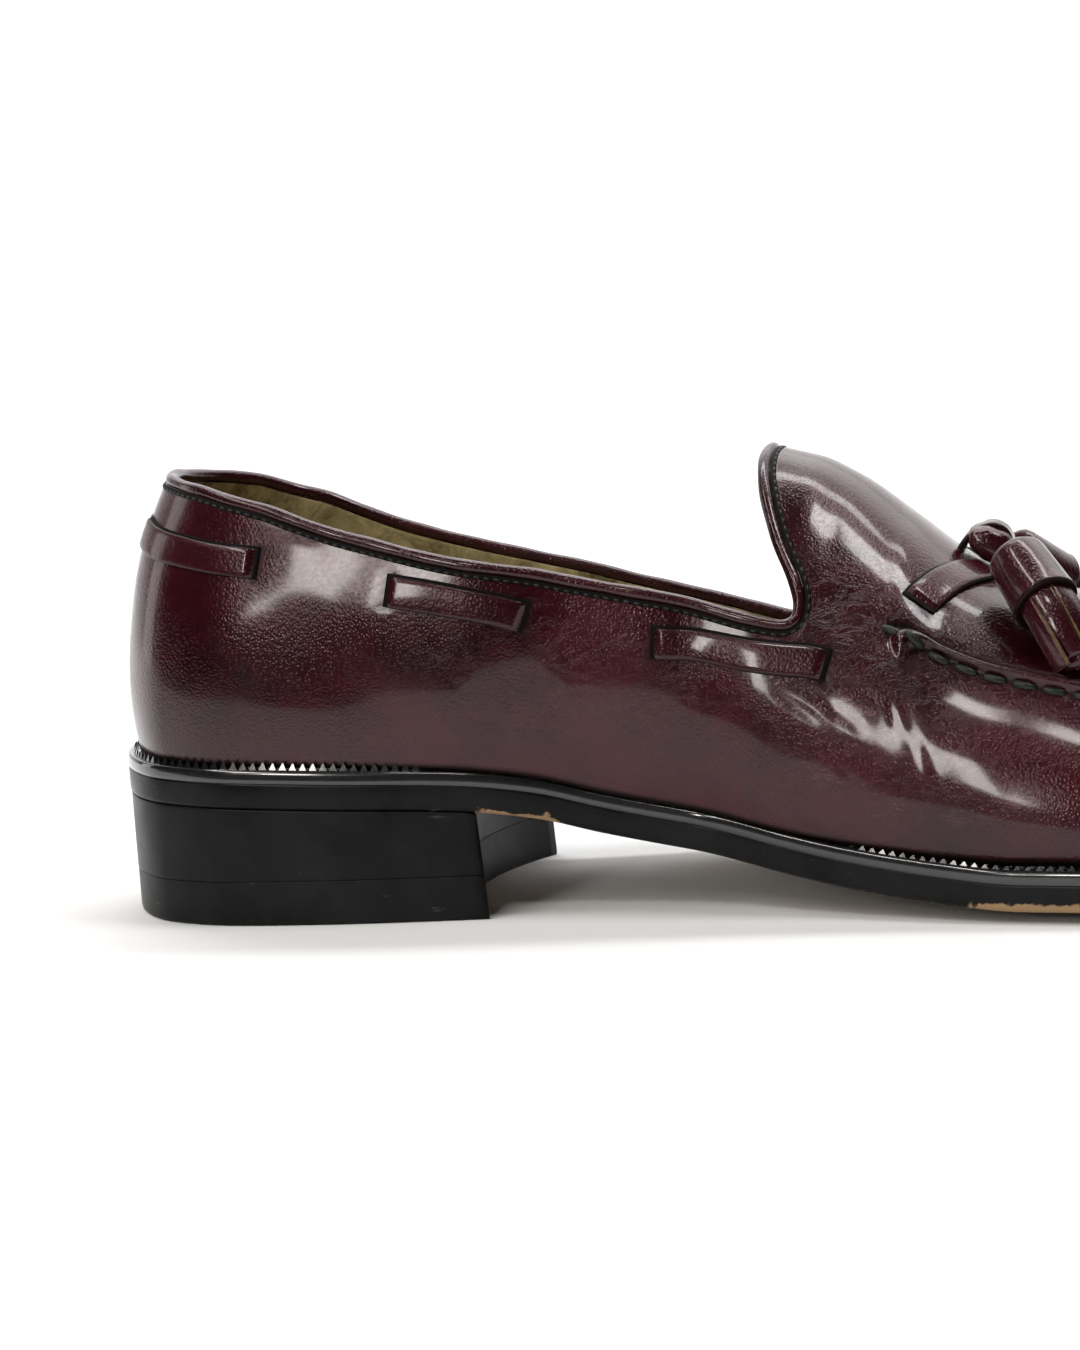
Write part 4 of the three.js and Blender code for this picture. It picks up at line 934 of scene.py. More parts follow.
# %% Join the two sides into one wall
def joined_upper():
    """Outer skin, lining and cut edges of both sides as one closed wall."""
    outer, inner, values = [], [], {"creased": [], "edge": []}
    ids = np.zeros((2, column_count, row_count), int)
    order = (MEDIAL, LATERAL)
    for s, side in enumerate(order):
        part = skin[side]
        shared = np.zeros((column_count, row_count), bool)
        shared[[0, -1], :] = True
        shared[RIM_COLUMNS:, -1] = True
        new = np.ones_like(shared) if s == 0 else ~shared
        ids[s][new] = np.arange(new.sum()) + sum(len(block) for block in outer)
        if s:
            ids[s][shared] = ids[0][shared]
        outer.append((part["points"] + part["normals"] * part["lift"][..., None])[new])
        inner.append((part["points"] - part["normals"] * WALL)[new])
        for key in values:
            values[key].append(part[key][new])
    outer, inner = np.vstack(outer), np.vstack(inner)
    count = len(outer)
    faces, slots = [], []
    for s, side in enumerate(order):
        a, b = ids[s][:-1, :-1], ids[s][1:, :-1]
        c, d = ids[s][1:, 1:], ids[s][:-1, 1:]
        quads = np.stack([a, b, c, d], -1).reshape(-1, 4)
        quads = quads if side == MEDIAL else quads[:, ::-1]
        faces += quads.tolist() + (quads[:, ::-1] + count).tolist()
        slots += [0] * len(quads) + [1] * len(quads)
        for row, last_column in ((0, column_count - 1), (-1, RIM_COLUMNS)):
            p, q = ids[s][:last_column, row], ids[s][1:last_column + 1, row]
            strip = np.stack([p, q, q + count, p + count], -1)
            faces += (strip if (row == 0) == (side == LATERAL) else strip[:, ::-1]).tolist()
            slots += [0] * len(strip)
    points = np.vstack([outer, inner])
    zero = np.zeros(count)
    return points, faces, slots, {k: np.concatenate([*v, zero]) for k, v in values.items()}


points, faces, slots, values = joined_upper()
upper = make_piece("fine_upper", points, faces, ["oxblood_leather", "lining_leather"], slots,
                   ["upper"])
# The edge value of the upper is painted shade.
for key, value in values.items():
    paint(upper, key, value)
print("painted", sorted(values))
surface = BVHTree.FromPolygons([v.co * 1000 + Vector((REST_X, 0, 0)) for v in upper.data.vertices],
                               [tuple(p.vertices) for p in upper.data.polygons])


def settle(point, normal, need):
    """Lifts a point along a direction until it stands clear of the upper."""
    start = Vector(point + normal * 10)
    hit, _n, _i, distance = surface.ray_cast(start, Vector(-normal), 20)
    if hit is None:
        return point
    height = 10 - distance
    return point + normal * max(height + need, 0)


# %% [markdown]
# ## Sole, welt and heel
# The sole is a stack: outsole, welt, heel lifts and the top lift. Each is worked out from the
# same outline, drawn in or out a little, so every step of the edge is a real step.

# %% Stations round the sole
BLUNT, OUTSOLE_UP, WELT_BASE, STACK_GAP = 0.004, 0.10, 0.14, 0.10
sole_u = np.clip(np.linspace(0, 1, 300), BLUNT, 1 - BLUNT)


def way_round(inset):
    """The outline as one closed way: inner side to the toe, outer side back."""
    inner = inset_edge(MEDIAL, sole_u, np.broadcast_to(inset(MEDIAL, sole_u), sole_u.shape))
    outer = inset_edge(LATERAL, sole_u, np.broadcast_to(inset(LATERAL, sole_u), sole_u.shape))
    return np.vstack([inner, outer[::-1]])


print("stations along each side", len(sole_u))

# %% The outsole
def outsole_mesh():
    """Rows from the tread over both edges, as rings across the sole."""
    rings, marks = [], []
    across = 16
    inner, outer = edge(MEDIAL, sole_u), edge(LATERAL, sole_u)
    x, width = inner[:, 0], outer[:, 1] - inner[:, 1]
    low = underside(x) + edge_rise(x)
    top = outsole_top(x) + OUTSOLE_UP

    def add(y, z, mark):
        rings.append(np.stack([x, y, z], -1))
        marks.append(mark)
    bevel = np.minimum(1.1, width / 4)
    for k in range(across + 1):
        share = k / across
        beside = abs(2 * share - 1)
        lift = edge_rise(x) * max(0.0, (beside - 0.5) / 0.5) ** 2
        add(inner[:, 1] + bevel + (width - 2 * bevel) * share, underside(x) + lift, 1)
    for turn in (0.25, 0.5, 0.75, 1.0):
        angle = turn * math.pi / 2
        add(outer[:, 1] - bevel * (1 - math.sin(angle)), low + bevel * (1 - math.cos(angle)), 0)
    for rise, bulge in ((0.35, 0.06), (0.6, 0.08), (0.9, 0.06), (0.985, 0.03), (1.0, -0.04)):
        add(outer[:, 1] + bulge, low + bevel + (top - low - bevel) * rise, 0)
    for rise, bulge in ((1.0, -0.04), (0.985, 0.03), (0.9, 0.06), (0.6, 0.08), (0.35, 0.06)):
        add(inner[:, 1] - bulge, low + bevel + (top - low - bevel) * rise, 0)
    for turn in (1.0, 0.75, 0.5, 0.25):
        angle = turn * math.pi / 2
        add(inner[:, 1] + bevel * (1 - math.sin(angle)), low + bevel * (1 - math.cos(angle)), 0)
    rings = np.stack(rings, 1)
    points, faces = loft(rings)
    count = len(marks)
    slots = [1 if marks[f[0] % count] and marks[f[1] % count] else 0
             for f in faces[:(len(rings) - 1) * count]]
    slots += [0] * (len(faces) - len(slots))
    return points, faces, slots


points, faces, slots = outsole_mesh()
outsole = make_piece("fine_outsole", points, faces, ["black_sole_edge", "tread_leather"], slots,
                     ["outsole"])

# %% Bare leather where the edge has rubbed
spots = np.array([v.co for v in outsole.data.vertices]) * 1000 + [REST_X, 0, 0]
along_sole = spots[:, 0]
over_tread = spots[:, 2] - underside(along_sole)


def low_band(height, fade, start, start_fade, end, end_fade):
    """A rubbed band low on the edge, from start to end."""
    return (eased((height - over_tread) / fade) * eased((along_sole - start) / start_fade)
            * eased((end - along_sole) / end_fade))


def scuff(at, long, high):
    """A small rubbed spot low on the edge."""
    return np.exp(-(((along_sole - at) / long) ** 2 + ((over_tread - 1.0) / high) ** 2))


strip = low_band(4.1, 1.0, 172, 12, 250, 20)
lip_line = low_band(1.6, 0.5, 79, 1.5, 99, 4)
worn_edge = strip + 0.7 * lip_line + scuff(93, 3.2, 1.3) + scuff(171, 4, 1.0)
paint(outsole, "worn", np.clip(worn_edge, 0, 1))
print("worn edge on", int((strip > 0.5).sum()), "points")


# %% The welt
WELT_INWARD = 9


def welt_mesh():
    """A ring: its outer edge from (inset, share of the height) rows, its inner edge under the upper."""
    edges = [(0.04, 0.0), (-0.03, 0.03), (-0.05, 0.30), (0.0, 0.70), (0.10, 0.90), (0.34, 1.0),
             (0.9, 1.0)]
    rings = []
    for inset, rise in edges:
        plan = way_round(lambda side, u, inset=inset: inset + 0 * u)
        base, top = outsole_top(plan[:, 0]) + WELT_BASE, welt_top(plan[:, 0])
        rings.append(np.column_stack([plan, base + (top - base) * rise]))
    for rise in (1.0, 0.0):
        plan = way_round(lambda side, u: MARGIN_UNIT * welt_margin[side](u) + WALL + WELT_INWARD)
        base, top = outsole_top(plan[:, 0]) + WELT_BASE, welt_top(plan[:, 0])
        rings.append(np.column_stack([plan, base + (top - base) * rise]))
    return loft(np.stack(rings, 1), closed_rings=True)


points, faces = welt_mesh()
make_piece("fine_welt", points, faces, ["waxed_welt"], None, ["welt"])


# %% The heel
def heel_plan(inset, forward, along=70, breast=36):
    """The outline of the heel, with its hollow front moved forward."""
    u = u_at_share(HEEL_LENGTH / SOLE_LENGTH) * np.linspace(0, 1, along + 1)
    inner = inset_edge(MEDIAL, u, np.full_like(u, inset))
    outer = inset_edge(LATERAL, u, np.full_like(u, inset))[1:]
    start, end = outer[-1] + [forward, 0], inner[-1] + [forward, 0]
    inner[-1], outer[-1] = end, start
    t = np.linspace(0, 1, breast + 1)[1:-1, None]
    front = start + (end - start) * t
    front[:, 0] -= 4 * BREAST_HOLLOW * (t * (1 - t))[:, 0]
    return np.vstack([inner[::-1], outer, front])


def heel_block(levels):
    """Rings of the outline from the top down, drawn in to the middle at both ends."""
    def ring_at(level, share):
        inset, forward, height = level
        plan = heel_plan(inset, forward)
        middle = plan.mean(axis=0)
        plan = middle + (plan - middle) * share
        return np.column_stack([plan, height(plan[:, 0])])
    rings = [ring_at(levels[0], share) for share in (0.25, 0.6, 0.9)]
    rings += [ring_at(level, 1.0) for level in levels]
    rings += [ring_at(levels[-1], share) for share in (0.9, 0.6, 0.25)]
    return loft(np.array(rings))


def taper(z):
    """Inset of the heel at a level."""
    return HEEL_INSET + HEEL_TAPER * (1 - z / HEEL_HEIGHT)


def lean(z):
    """How far the front of the heel leans forward at a level."""
    return BREAST_LEAN * (1 - z / HEEL_HEIGHT)


stack_low = TOP_LIFT + STACK_GAP
stack = [(HEEL_INSET + extra, lean(stack_low) * (1 - share),
          lambda x, share=share: stack_low + (underside(x) - STACK_GAP - stack_low) * share)
         for share, extra in ((1.0, 0.06), (0.985, 0.02), (0.95, 0.0), (0.5, 0.0), (0.04, 0.0),
                              (0.012, 0.01), (0.0, 0.05))]
points, faces = heel_block(stack)
make_piece("fine_heel_stack", points, faces, ["black_heel_edge"], None, ["heel_stack"])
lift_levels = [(taper(z) + extra, lean(z), lambda x, z=z: np.full_like(x, z))
               for z, extra in ((TOP_LIFT, 0.05), (8.93, 0.01), (8.8, 0.0), (1.1, 0.0), (0.45, 0.14),
                                (0.12, 0.42), (0.0, 0.9))]
points, faces = heel_block(lift_levels)
make_piece("fine_top_lift", points, faces, ["black_top_lift"], None, ["top_lift"])
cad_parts["insole"].data.materials.clear()
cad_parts["insole"].data.materials.append(finishes["insole_leather"])

# %% [markdown]
# ## The rolled edge
# A strip of thin leather is folded over the collar edge and stitched, so the edge is a soft
# round bead. It follows the rim of the upper, and its centre lies where the rim's own normal
# and direction put it.

# %% Rim of the upper
def rim_ring():
    """Points and normals once round the top of the upper."""
    points, normals = [], []
    for side, columns in ((MEDIAL, range(0, RIM_COLUMNS)), (LATERAL, range(RIM_COLUMNS, 0, -1))):
        for i in columns:
            points.append(skin[side]["points"][i, -1])
            normals.append(skin[side]["normals"][i, -1])
    return np.array(points), np.array(normals)


def smoothed(values, turns=3):
    """Evens out values along a line, whose two ends count as neighbours."""
    for _ in range(turns):
        values = (np.roll(values, 1, 0) + 2 * values + np.roll(values, -1, 0)) / 4
    return values


rim_points, rim_normals = rim_ring()
rim_normals = unit(smoothed(rim_normals, 6))
rim_middle = smoothed(rim_points - rim_normals * WALL / 2, 2)
rim_along = unit(np.roll(rim_middle, -1, 0) - np.roll(rim_middle, 1, 0))
rim_up = unit(np.cross(rim_normals, rim_along))


BEAD_RADIUS, BEAD_LIFT, BEAD_TALL, BEAD_WIDE = 1.32, 1.12, 0.96, 1.04


def bead_mesh(around=18):
    """A soft round bead along the rim, pulled in a little here and there."""
    angle = 2 * np.pi * np.arange(around) / around
    run = np.concatenate([[0], np.cumsum(np.linalg.norm(np.diff(rim_middle, axis=0), axis=1))])
    pull = 0.05 * np.sin(run / 3.1) + 0.04 * np.sin(run / 1.7 + 1)
    radius = BEAD_RADIUS + pull
    upward = BEAD_LIFT + radius[:, None, None] * BEAD_TALL * np.cos(angle)[None, :, None]
    outward_part = rim_normals[:, None] * radius[:, None, None] * np.sin(angle)[None, :, None]
    rings = rim_middle[:, None] + rim_up[:, None] * upward + outward_part * BEAD_WIDE
    return loft(rings, closed_rings=True)


points, faces = bead_mesh()
binding = make_piece("fine_collar_binding", points, faces, ["oxblood_binding"], None,
                     ["collar_binding"])
paint(binding, "edge", np.zeros(len(binding.data.vertices)))
print("points round the rim", len(rim_points))

# %% [markdown]
# ## Repeats by Geometry Nodes
# Stitches and the teeth of the welt are one small shape set again and again along a line. One
# tree does them all: it resamples the line by a pitch, sets the shape on each point, turns it
# along the line and then up from the surface, varies its size a little and makes it all real.


# %% A tree that repeats a shape along a line
def repeat_along(name, path, ups, shape, pitch, finish, closed=False, shrink=0.06, seed=3, flat=False):
    """Sets a small mesh object along a line of points in millimetres."""
    line = bpy.data.meshes.new(name)
    place = (np.asarray(path) - [REST_X, 0, 0]) / 1000
    edges = [(i, i + 1) for i in range(len(place) - 1)] + ([(len(place) - 1, 0)] if closed else [])
    line.from_pydata(place.tolist(), edges, [])
    layer = line.attributes.new("up", "FLOAT_VECTOR", "POINT")
    layer.data.foreach_set("vector", np.asarray(ups, np.float32).ravel())
    obj = bpy.data.objects.new(name, line)
    bpy.context.scene.collection.objects.link(obj)
    tree = bpy.data.node_groups.new(name + "_repeat", "GeometryNodeTree")
    face = tree.interface
    face.new_socket("Geometry", in_out="INPUT", socket_type="NodeSocketGeometry")
    pitch_in = face.new_socket("Pitch", in_out="INPUT", socket_type="NodeSocketFloat")
    shape_in = face.new_socket("Shape", in_out="INPUT", socket_type="NodeSocketObject")
    least_in = face.new_socket("Least size", in_out="INPUT", socket_type="NodeSocketFloat")
    face.new_socket("Geometry", in_out="OUTPUT", socket_type="NodeSocketGeometry")
    add, link = tree.nodes.new, tree.links.new
    start, end = add("NodeGroupInput"), add("NodeGroupOutput")
    curve, dots = add("GeometryNodeMeshToCurve"), add("GeometryNodeCurveToPoints")
    dots.mode = "LENGTH"
    info, scatter = add("GeometryNodeObjectInfo"), add("GeometryNodeInstanceOnPoints")
    up = add("GeometryNodeInputNamedAttribute")
    up.data_type = "FLOAT_VECTOR"
    up.inputs["Name"].default_value = "up"
    turn, tilt = add("FunctionNodeAlignRotationToVector"), add("FunctionNodeAlignRotationToVector")
    turn.axis, tilt.axis, tilt.pivot_axis = "X", "Z", "X"
    size = add("FunctionNodeRandomValue")
    size.data_type = "FLOAT"
    size.inputs["Seed"].default_value = seed
    size.inputs[3].default_value = 1.0
    real, dress = add("GeometryNodeRealizeInstances"), add("GeometryNodeSetMaterial")
    dress.inputs["Material"].default_value = finishes[finish]
    link(start.outputs["Geometry"], curve.inputs["Mesh"])
    link(curve.outputs["Curve"], dots.inputs["Curve"])
    link(start.outputs["Pitch"], dots.inputs["Length"])
    link(start.outputs["Shape"], info.inputs["Object"])
    link(dots.outputs["Points"], scatter.inputs["Points"])
    link(info.outputs["Geometry"], scatter.inputs["Instance"])
    link(dots.outputs["Tangent"], turn.inputs["Vector"])
    link(turn.outputs["Rotation"], tilt.inputs["Rotation"])
    link(up.outputs["Attribute"], tilt.inputs["Vector"])
    link(tilt.outputs["Rotation"], scatter.inputs["Rotation"])
    link(start.outputs["Least size"], size.inputs[2])
    link(size.outputs[1], scatter.inputs["Scale"])
    link(scatter.outputs["Instances"], real.inputs["Geometry"])
    link(real.outputs["Geometry"], dress.inputs["Geometry"])
    link(dress.outputs["Geometry"], end.inputs["Geometry"])
    modifier = obj.modifiers.new("repeat", "NODES")
    modifier.node_group = tree
    modifier[pitch_in.identifier] = pitch / 1000
    modifier[shape_in.identifier] = shape
    modifier[least_in.identifier] = 1.0 - shrink
    graph = bpy.context.evaluated_depsgraph_get()
    made = bpy.data.meshes.new_from_object(obj.evaluated_get(graph), depsgraph=graph)
    obj.modifiers.remove(modifier)
    obj.data = made
    made.materials.clear()
    made.materials.append(finishes[finish])
    if flat:
        made.shade_flat()
    else:
        made.shade_smooth()
    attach(obj, "root")
    print(f"{name}: {len(made.polygons)} faces")
    return obj


def small_shape(name, points, faces):
    """A seed shape for the repeats, in millimetres, kept out of the scene."""
    mesh = bpy.data.meshes.new(name)
    mesh.from_pydata((np.asarray(points, float) / 1000).tolist(), [], faces)
    recalculate(mesh)
    return bpy.data.objects.new(name, mesh)


def stitch_shape(name, length, thick, rise, around=8, along=6):
    """A thread that comes out, lies along the leather and goes in again."""
    rings = []
    for k in range(along + 1):
        t = k / along
        bow = math.sin(math.pi * t) ** 0.5
        centre = np.array([(t - 0.5) * length, 0, rise * bow - 0.25])
        radius = thick / 2 * (0.55 + 0.45 * bow)
        angle = 2 * np.pi * np.arange(around) / around
        rings.append(centre + np.stack([0 * angle, radius * np.cos(angle), radius * np.sin(angle)], -1))
    points, faces = loft(np.array(rings))
    return small_shape(name, points, faces)


# %% Stitches under the rolled edge
# The last three size the dark cord of painted shade under the bead.
EDGE_STITCH, EDGE_PITCH, SHADE_LINE_BELOW, SHADE_LINE_TALL, SHADE_LINE_DEEP = (1.75, 0.62, 0.22), 2.0, 0.62, 0.62, 0.20


def hugging(below, clear):
    """A line on the outside of the upper, this far below the middle of the bead."""
    line = [settle(point - up * below - normal * 3, normal, clear)
            for point, up, normal in zip(rim_middle, rim_up, rim_normals)]
    return smoothed(np.array(line), 1)


edge_stitch = stitch_shape("edge_stitch", *EDGE_STITCH, around=6, along=4)
repeat_along("collar_stitches", hugging(0.85, 0.05), rim_normals, edge_stitch, EDGE_PITCH,
             "waxed_thread", closed=True)


# %% Painted shade under the bead
def shade_line_mesh(around=6):
    """A thin dark cord of painted shade, in the groove where the folded strip is held down by the
    stitches.
    """
    angle = 2 * np.pi * np.arange(around) / around
    line = hugging(SHADE_LINE_BELOW, 0.0)
    rings = (line[:, None] + rim_up[:, None] * (SHADE_LINE_TALL * np.cos(angle)[None, :, None])
             + rim_normals[:, None] * (SHADE_LINE_DEEP * np.sin(angle)[None, :, None]))
    return loft(rings, closed_rings=True)


points, faces = shade_line_mesh()
make_piece("fine_collar_fold", points, faces, ["black_dye_and_shade"])

# %% Hand stitches of the apron
APRON_STITCH, APRON_PITCH, STITCH_DOWN, SEAM_START = (5.0, 1.7, 0.50), 5.8, 1.80, 0.5465


def seam_line(side):
    """The line of the stitches below the lip, and the way that each one faces."""
    _rows, _height, t = upper_rows(side)
    u, theta = place_in(side, t[:, None])
    points, normals = last(side, u, theta)[:, 0], normal_on(side, u, theta)[:, 0]
    share = share_at(u[:, 0])
    along = unit(np.gradient(points, axis=0))
    down = unit(np.cross(along, normals)) * -side
    down *= np.where(down[:, 2:3] > 0, -1, 1)
    keep = share > SEAM_START
    line = points + down * STITCH_DOWN
    line = np.array([settle(p - n, n, 0.0) for p, n in zip(line[keep], normals[keep])])
    ups = unit(normals[keep] + down[keep] * 0.5)
    return line, ups


lines, ups = zip(*(seam_line(side) for side in (MEDIAL, LATERAL)))
apron_line = np.vstack([lines[0][:-1], lines[1][::-1]])
apron_ups = np.vstack([ups[0][:-1], ups[1][::-1]])
apron_stitch = stitch_shape("apron_stitch", *APRON_STITCH, around=10, along=8)
repeat_along("apron_stitches", smoothed(apron_line, 1), apron_ups, apron_stitch, APRON_PITCH,
             "waxed_thread")

# %% Teeth of the welt
HEEL_TOOTH, FORE_TOOTH, TOOTH_PITCH, LEDGE_INSET = 1.45, 0.8, 2.1, 1.55


def tooth_shape(name, height):
    """A wedge that stands on the ledge: four leaning faces up to a short ridge."""
    base = [(-1.0, -0.5, -0.3), (1.0, -0.5, -0.3), (1.0, 0.5, -0.3), (-1.0, 0.5, -0.3)]
    return small_shape(name, base + [(-0.12, 0.0, height), (0.12, 0.0, height)],
                       [(0, 3, 2, 1), (0, 1, 5, 4), (1, 2, 5), (2, 3, 4, 5), (3, 0, 4)])


def ledge_line(side, first, final):
    """The middle of the ledge of the welt between two shares of the length."""
    u = np.linspace(u_at_share(first), u_at_share(final), 240)
    plan = inset_edge(side, u, np.full_like(u, LEDGE_INSET))
    return np.column_stack([plan, welt_top(plan[:, 0])])


heel_line = np.vstack([ledge_line(MEDIAL, 0.225, 0.0)[:-1], ledge_line(LATERAL, 0.0, 0.33)])
fore_line = np.vstack([ledge_line(MEDIAL, 0.515, 1.0)[:-1], ledge_line(LATERAL, 1.0, 0.42)])
for name, line, height in (("heel_seat_teeth", heel_line, HEEL_TOOTH),
                           ("forepart_teeth", fore_line, FORE_TOOTH)):
    tooth = tooth_shape(name + "_shape", height)
    repeat_along(name, line, np.tile([0, 0, 1.0], (len(line), 1)), tooth, TOOTH_PITCH, "waxed_welt",
                 shrink=0.15, flat=True)

# %% [markdown]
# ## The lace
# The lace is a flat strip of the same calf with dyed edges. It shows between slots, and at each
# slot it dips into the leather. Its section is a flat oval with square shoulders. Every point of
# the section is settled on the finished surface of the upper and then pressed in a little. A thin
# black strip under it is painted shade: the dark line of its slots, and a shadow along its dyed
# lower edge.

# %% A strip of leather on the surface
STRIP_SECTION = [  # share of the width, share of the thickness, dyed
    (-0.5, 0.10, 1), (-0.5, 0.62, 1), (-0.485, 0.86, 0.8), (-0.44, 0.97, 0.2),
    (-0.30, 1.0, 0), (0.0, 1.02, 0), (0.30, 1.0, 0), (0.44, 0.97, 0.2), (0.485, 0.86, 0.8),
    (0.5, 0.62, 1), (0.5, 0.10, 1), (0.40, 0.0, 1), (0.0, 0.0, 1), (-0.40, 0.0, 1)]
# Some of these size the black strip of painted shade under each lace: how far it shows past a slot, how
# far it drops, how much wider it is, how thick and how high.
SUNK, SLOT_SHADE_SHOWS, SHADOW_STRIP_DROP = 0.55, 0.5, 0.30
SLOT_DIP, DIP_LENGTH, SHADOW_STRIP_WIDER, SHADOW_STRIP_THICK, SHADOW_STRIP_LIFT = 0.95, 1.7, 0.35, 0.22, 0.10


def strip_on(side, start, end, width, thickness, dips=(True, True), steps=60, seed=0.0, lift=None,
             shift=0.0):
    """Rings of a strip from slot to slot, and how dyed each point is."""
    t = np.linspace(0, 1, steps + 1)
    u = start[0] + (end[0] - start[0]) * t
    theta = start[1] + (end[1] - start[1]) * t
    centre, normal = last(side, u, theta), normal_on(side, u, theta)
    along = unit(np.gradient(centre, axis=0))
    across = unit(np.cross(along, normal))
    up = unit(np.cross(across, along))
    length = np.cumsum(np.concatenate([[0], np.linalg.norm(np.diff(centre, axis=0), axis=1)]))
    rings, marks = [], []
    for k in range(steps + 1):
        low = 0.0
        for dip, away in ((dips[0], length[k]), (dips[1], length[-1] - length[k])):
            if dip:
                low += SLOT_DIP * (1 - eased(away / DIP_LENGTH)) ** 1.5
        swell = 1 + 0.025 * math.sin(length[k] / 5 + seed)
        loose = 0.06 * math.sin(length[k] / 3.7 + seed) - SUNK if lift is None else lift
        ring = []
        for share, high, _mark in STRIP_SECTION:
            beside = share * width * swell + shift
            foot = settle(centre[k] + across[k] * beside - normal[k] * 3, up[k], 0.05 + loose)
            ring.append(foot + up[k] * (high * thickness - low))
        rings.append(ring)
        marks += [row[2] for row in STRIP_SECTION]
    return np.array(rings), marks


def make_strip(name, side, start, end, width, stands_for, dips=(True, True), seed=0.0):
    """A strip and, under it, a black strip of painted shade: the dark line of its slots and a shadow along
    its dyed lower edge.
    """
    rings, marks = strip_on(side, start, end, width, LACE_THICKNESS, dips, seed=seed)
    points, faces = loft(rings)
    first, final = np.array(start), np.array(end)
    step = (final - first) / np.linalg.norm(rings[-1][0] - rings[0][0])
    # The strip of painted shade sits a little lower, so a shadow line shows along the lace's lower edge.
    down = SHADOW_STRIP_DROP if side == LATERAL else -SHADOW_STRIP_DROP
    under, _marks = strip_on(side, first - step * SLOT_SHADE_SHOWS * dips[0],
                             final + step * SLOT_SHADE_SHOWS * dips[1], width + SHADOW_STRIP_WIDER, SHADOW_STRIP_THICK,
                             (False, False), seed=seed, lift=SHADOW_STRIP_LIFT, shift=down)
    shadow_strip_points, shadow_strip_faces = loft(under)
    shift = len(points)
    faces = faces + [[k + shift for k in face] for face in shadow_strip_faces]
    slots = [0] * (len(faces) - len(shadow_strip_faces)) + [1] * len(shadow_strip_faces)
    piece = make_piece(name, np.vstack([points, shadow_strip_points]), faces, ["oxblood_lace", "black_dye_and_shade"],
                       slots, [stands_for])
    paint(piece, "edge", marks + [1.0, 1.0] + [0.0] * len(shadow_strip_points))


for side, word in SIDES.items():
    for k, row in enumerate(LACES):
        start, end = lace_ends(side, row)
        make_strip(f"fine_lace_{row[0]}_{word}", side, start, end, LACE_WIDTH,
                   f"lace_{row[0]}_{word}", seed=1.7 * k + side)
    start, end = strap_ends(side)
    make_strip(f"fine_vamp_strap_{word}", side, start, end, STRAP_WIDTH, f"vamp_strap_{word}",
               dips=(True, False), seed=4.0 + side)

# %% [markdown]
# ## The knot
# The knot is the same strip pulled through itself: a roll across the vamp with one turn of
# leather wrapped over it. Two lofts make it: the roll has soft folds along it, and the wrap is a
# little narrower on top.

# %% Axes at the knot
knot_u = u_at_ridge(KNOT_SHARE)
knot_at = last(MEDIAL, knot_u, 1.0)
knot_along = unit(np.array([1.0, 0.0, float(ridge_slope(knot_at[0]))]))
knot_across = np.array([0.0, 1.0, 0.0])
knot_up = np.cross(knot_along, knot_across)
knot_base = knot_at + knot_up * 0.9


def at_knot(a, b, c):
    """Points given along the shoe, across it and up from the vamp."""
    return knot_base + np.outer(a, knot_along) + np.outer(b, knot_across) + np.outer(c, knot_up)


print("knot lies at", [round(float(v), 1) for v in knot_at])

# %% Roll and wrap
ROLL_HALF_LONG, ROLL_DEEP, ROLL_HIGH, ROLL_MIDDLE = 6.1, 4.9, 3.5, 3.35
WRAP_REACH, WRAP_WIDE, WRAP_HIGH, WRAP_STEPS = 5.6, 6.4, 7.3, 43


def knot_mesh():
    """The roll and the wrap as one mesh, and how dyed each point is."""
    angle = 2 * np.pi * np.arange(28) / 28
    rolls = []
    for share in np.linspace(-1, 1, 25):
        fat = (1 - abs(share) ** 3.2) ** 0.5 * 0.42 + 0.58
        fold = 1 + 0.05 * np.sin(3 * angle + 2.5 * share) + 0.03 * np.sin(7 * angle)
        rolls.append(at_knot(ROLL_DEEP * fat * fold * np.cos(angle),
                             np.full_like(angle, ROLL_HALF_LONG * share),
                             ROLL_MIDDLE + ROLL_HIGH * fat * fold * np.sin(angle) - 0.5 * share**2))
    roll_points, roll_faces = loft(np.array(rolls))
    wraps = []
    for turn in np.linspace(-0.10, 1.10, WRAP_STEPS):
        half = math.pi * turn
        section = []
        for beside, high, _mark in STRIP_SECTION:
            pinch = 1 + 0.10 * math.cos(2 * half)
            grow = -LACE_THICKNESS * 0.8 * (1 - high) + 0.16 * math.sin(beside * 9 + half * 3)
            section.append(((WRAP_REACH + grow) * -math.cos(half), beside * WRAP_WIDE * pinch,
                            (WRAP_HIGH + grow) * max(math.sin(half), -0.08) + 0.1))
        a, b, c = np.array(section).T
        wraps.append(at_knot(a, b, c))
    wrap_points, wrap_faces = loft(np.array(wraps))
    shift = len(roll_points)
    faces = roll_faces + [[k + shift for k in face] for face in wrap_faces]
    dyed_rows = [row[2] * 0.8 for row in STRIP_SECTION] * WRAP_STEPS
    marks = [0.0] * shift + dyed_rows + [0.8, 0.8]
    return np.vstack([roll_points, wrap_points]), faces, marks


points, faces, marks = knot_mesh()
knot = make_piece("fine_knot", points, faces, ["oxblood_lace"], None, ["knot"])
paint(knot, "edge", marks)

# %% [markdown]
# ## The tassels
# A tassel is a strip of leather cut into a fringe and rolled up, with a tight barrel of leather
# round its head. The barrel is open below, so the rolled strips show inside its rim, which is
# darkened with painted shade, and the cut edges of each strip are bare, tan leather.

# %% Where each tassel lies
TASSELS = {  # head: share of the length, beside, lift; tips: share of the length, of the rise
    MEDIAL: (0.6146, 16.9, 2.5, 0.660, 0.828), LATERAL: (0.6017, 24.2, 0.0, 0.6515, 0.70)}
BARREL, HEAD, RIM, BARREL_WALL, RECESS = 14.0, 6.0, 6.7, 1.5, 5.0
STRIP_WIDE, STRIP_THICK, FRINGE = 4.3, 1.1, 16.0


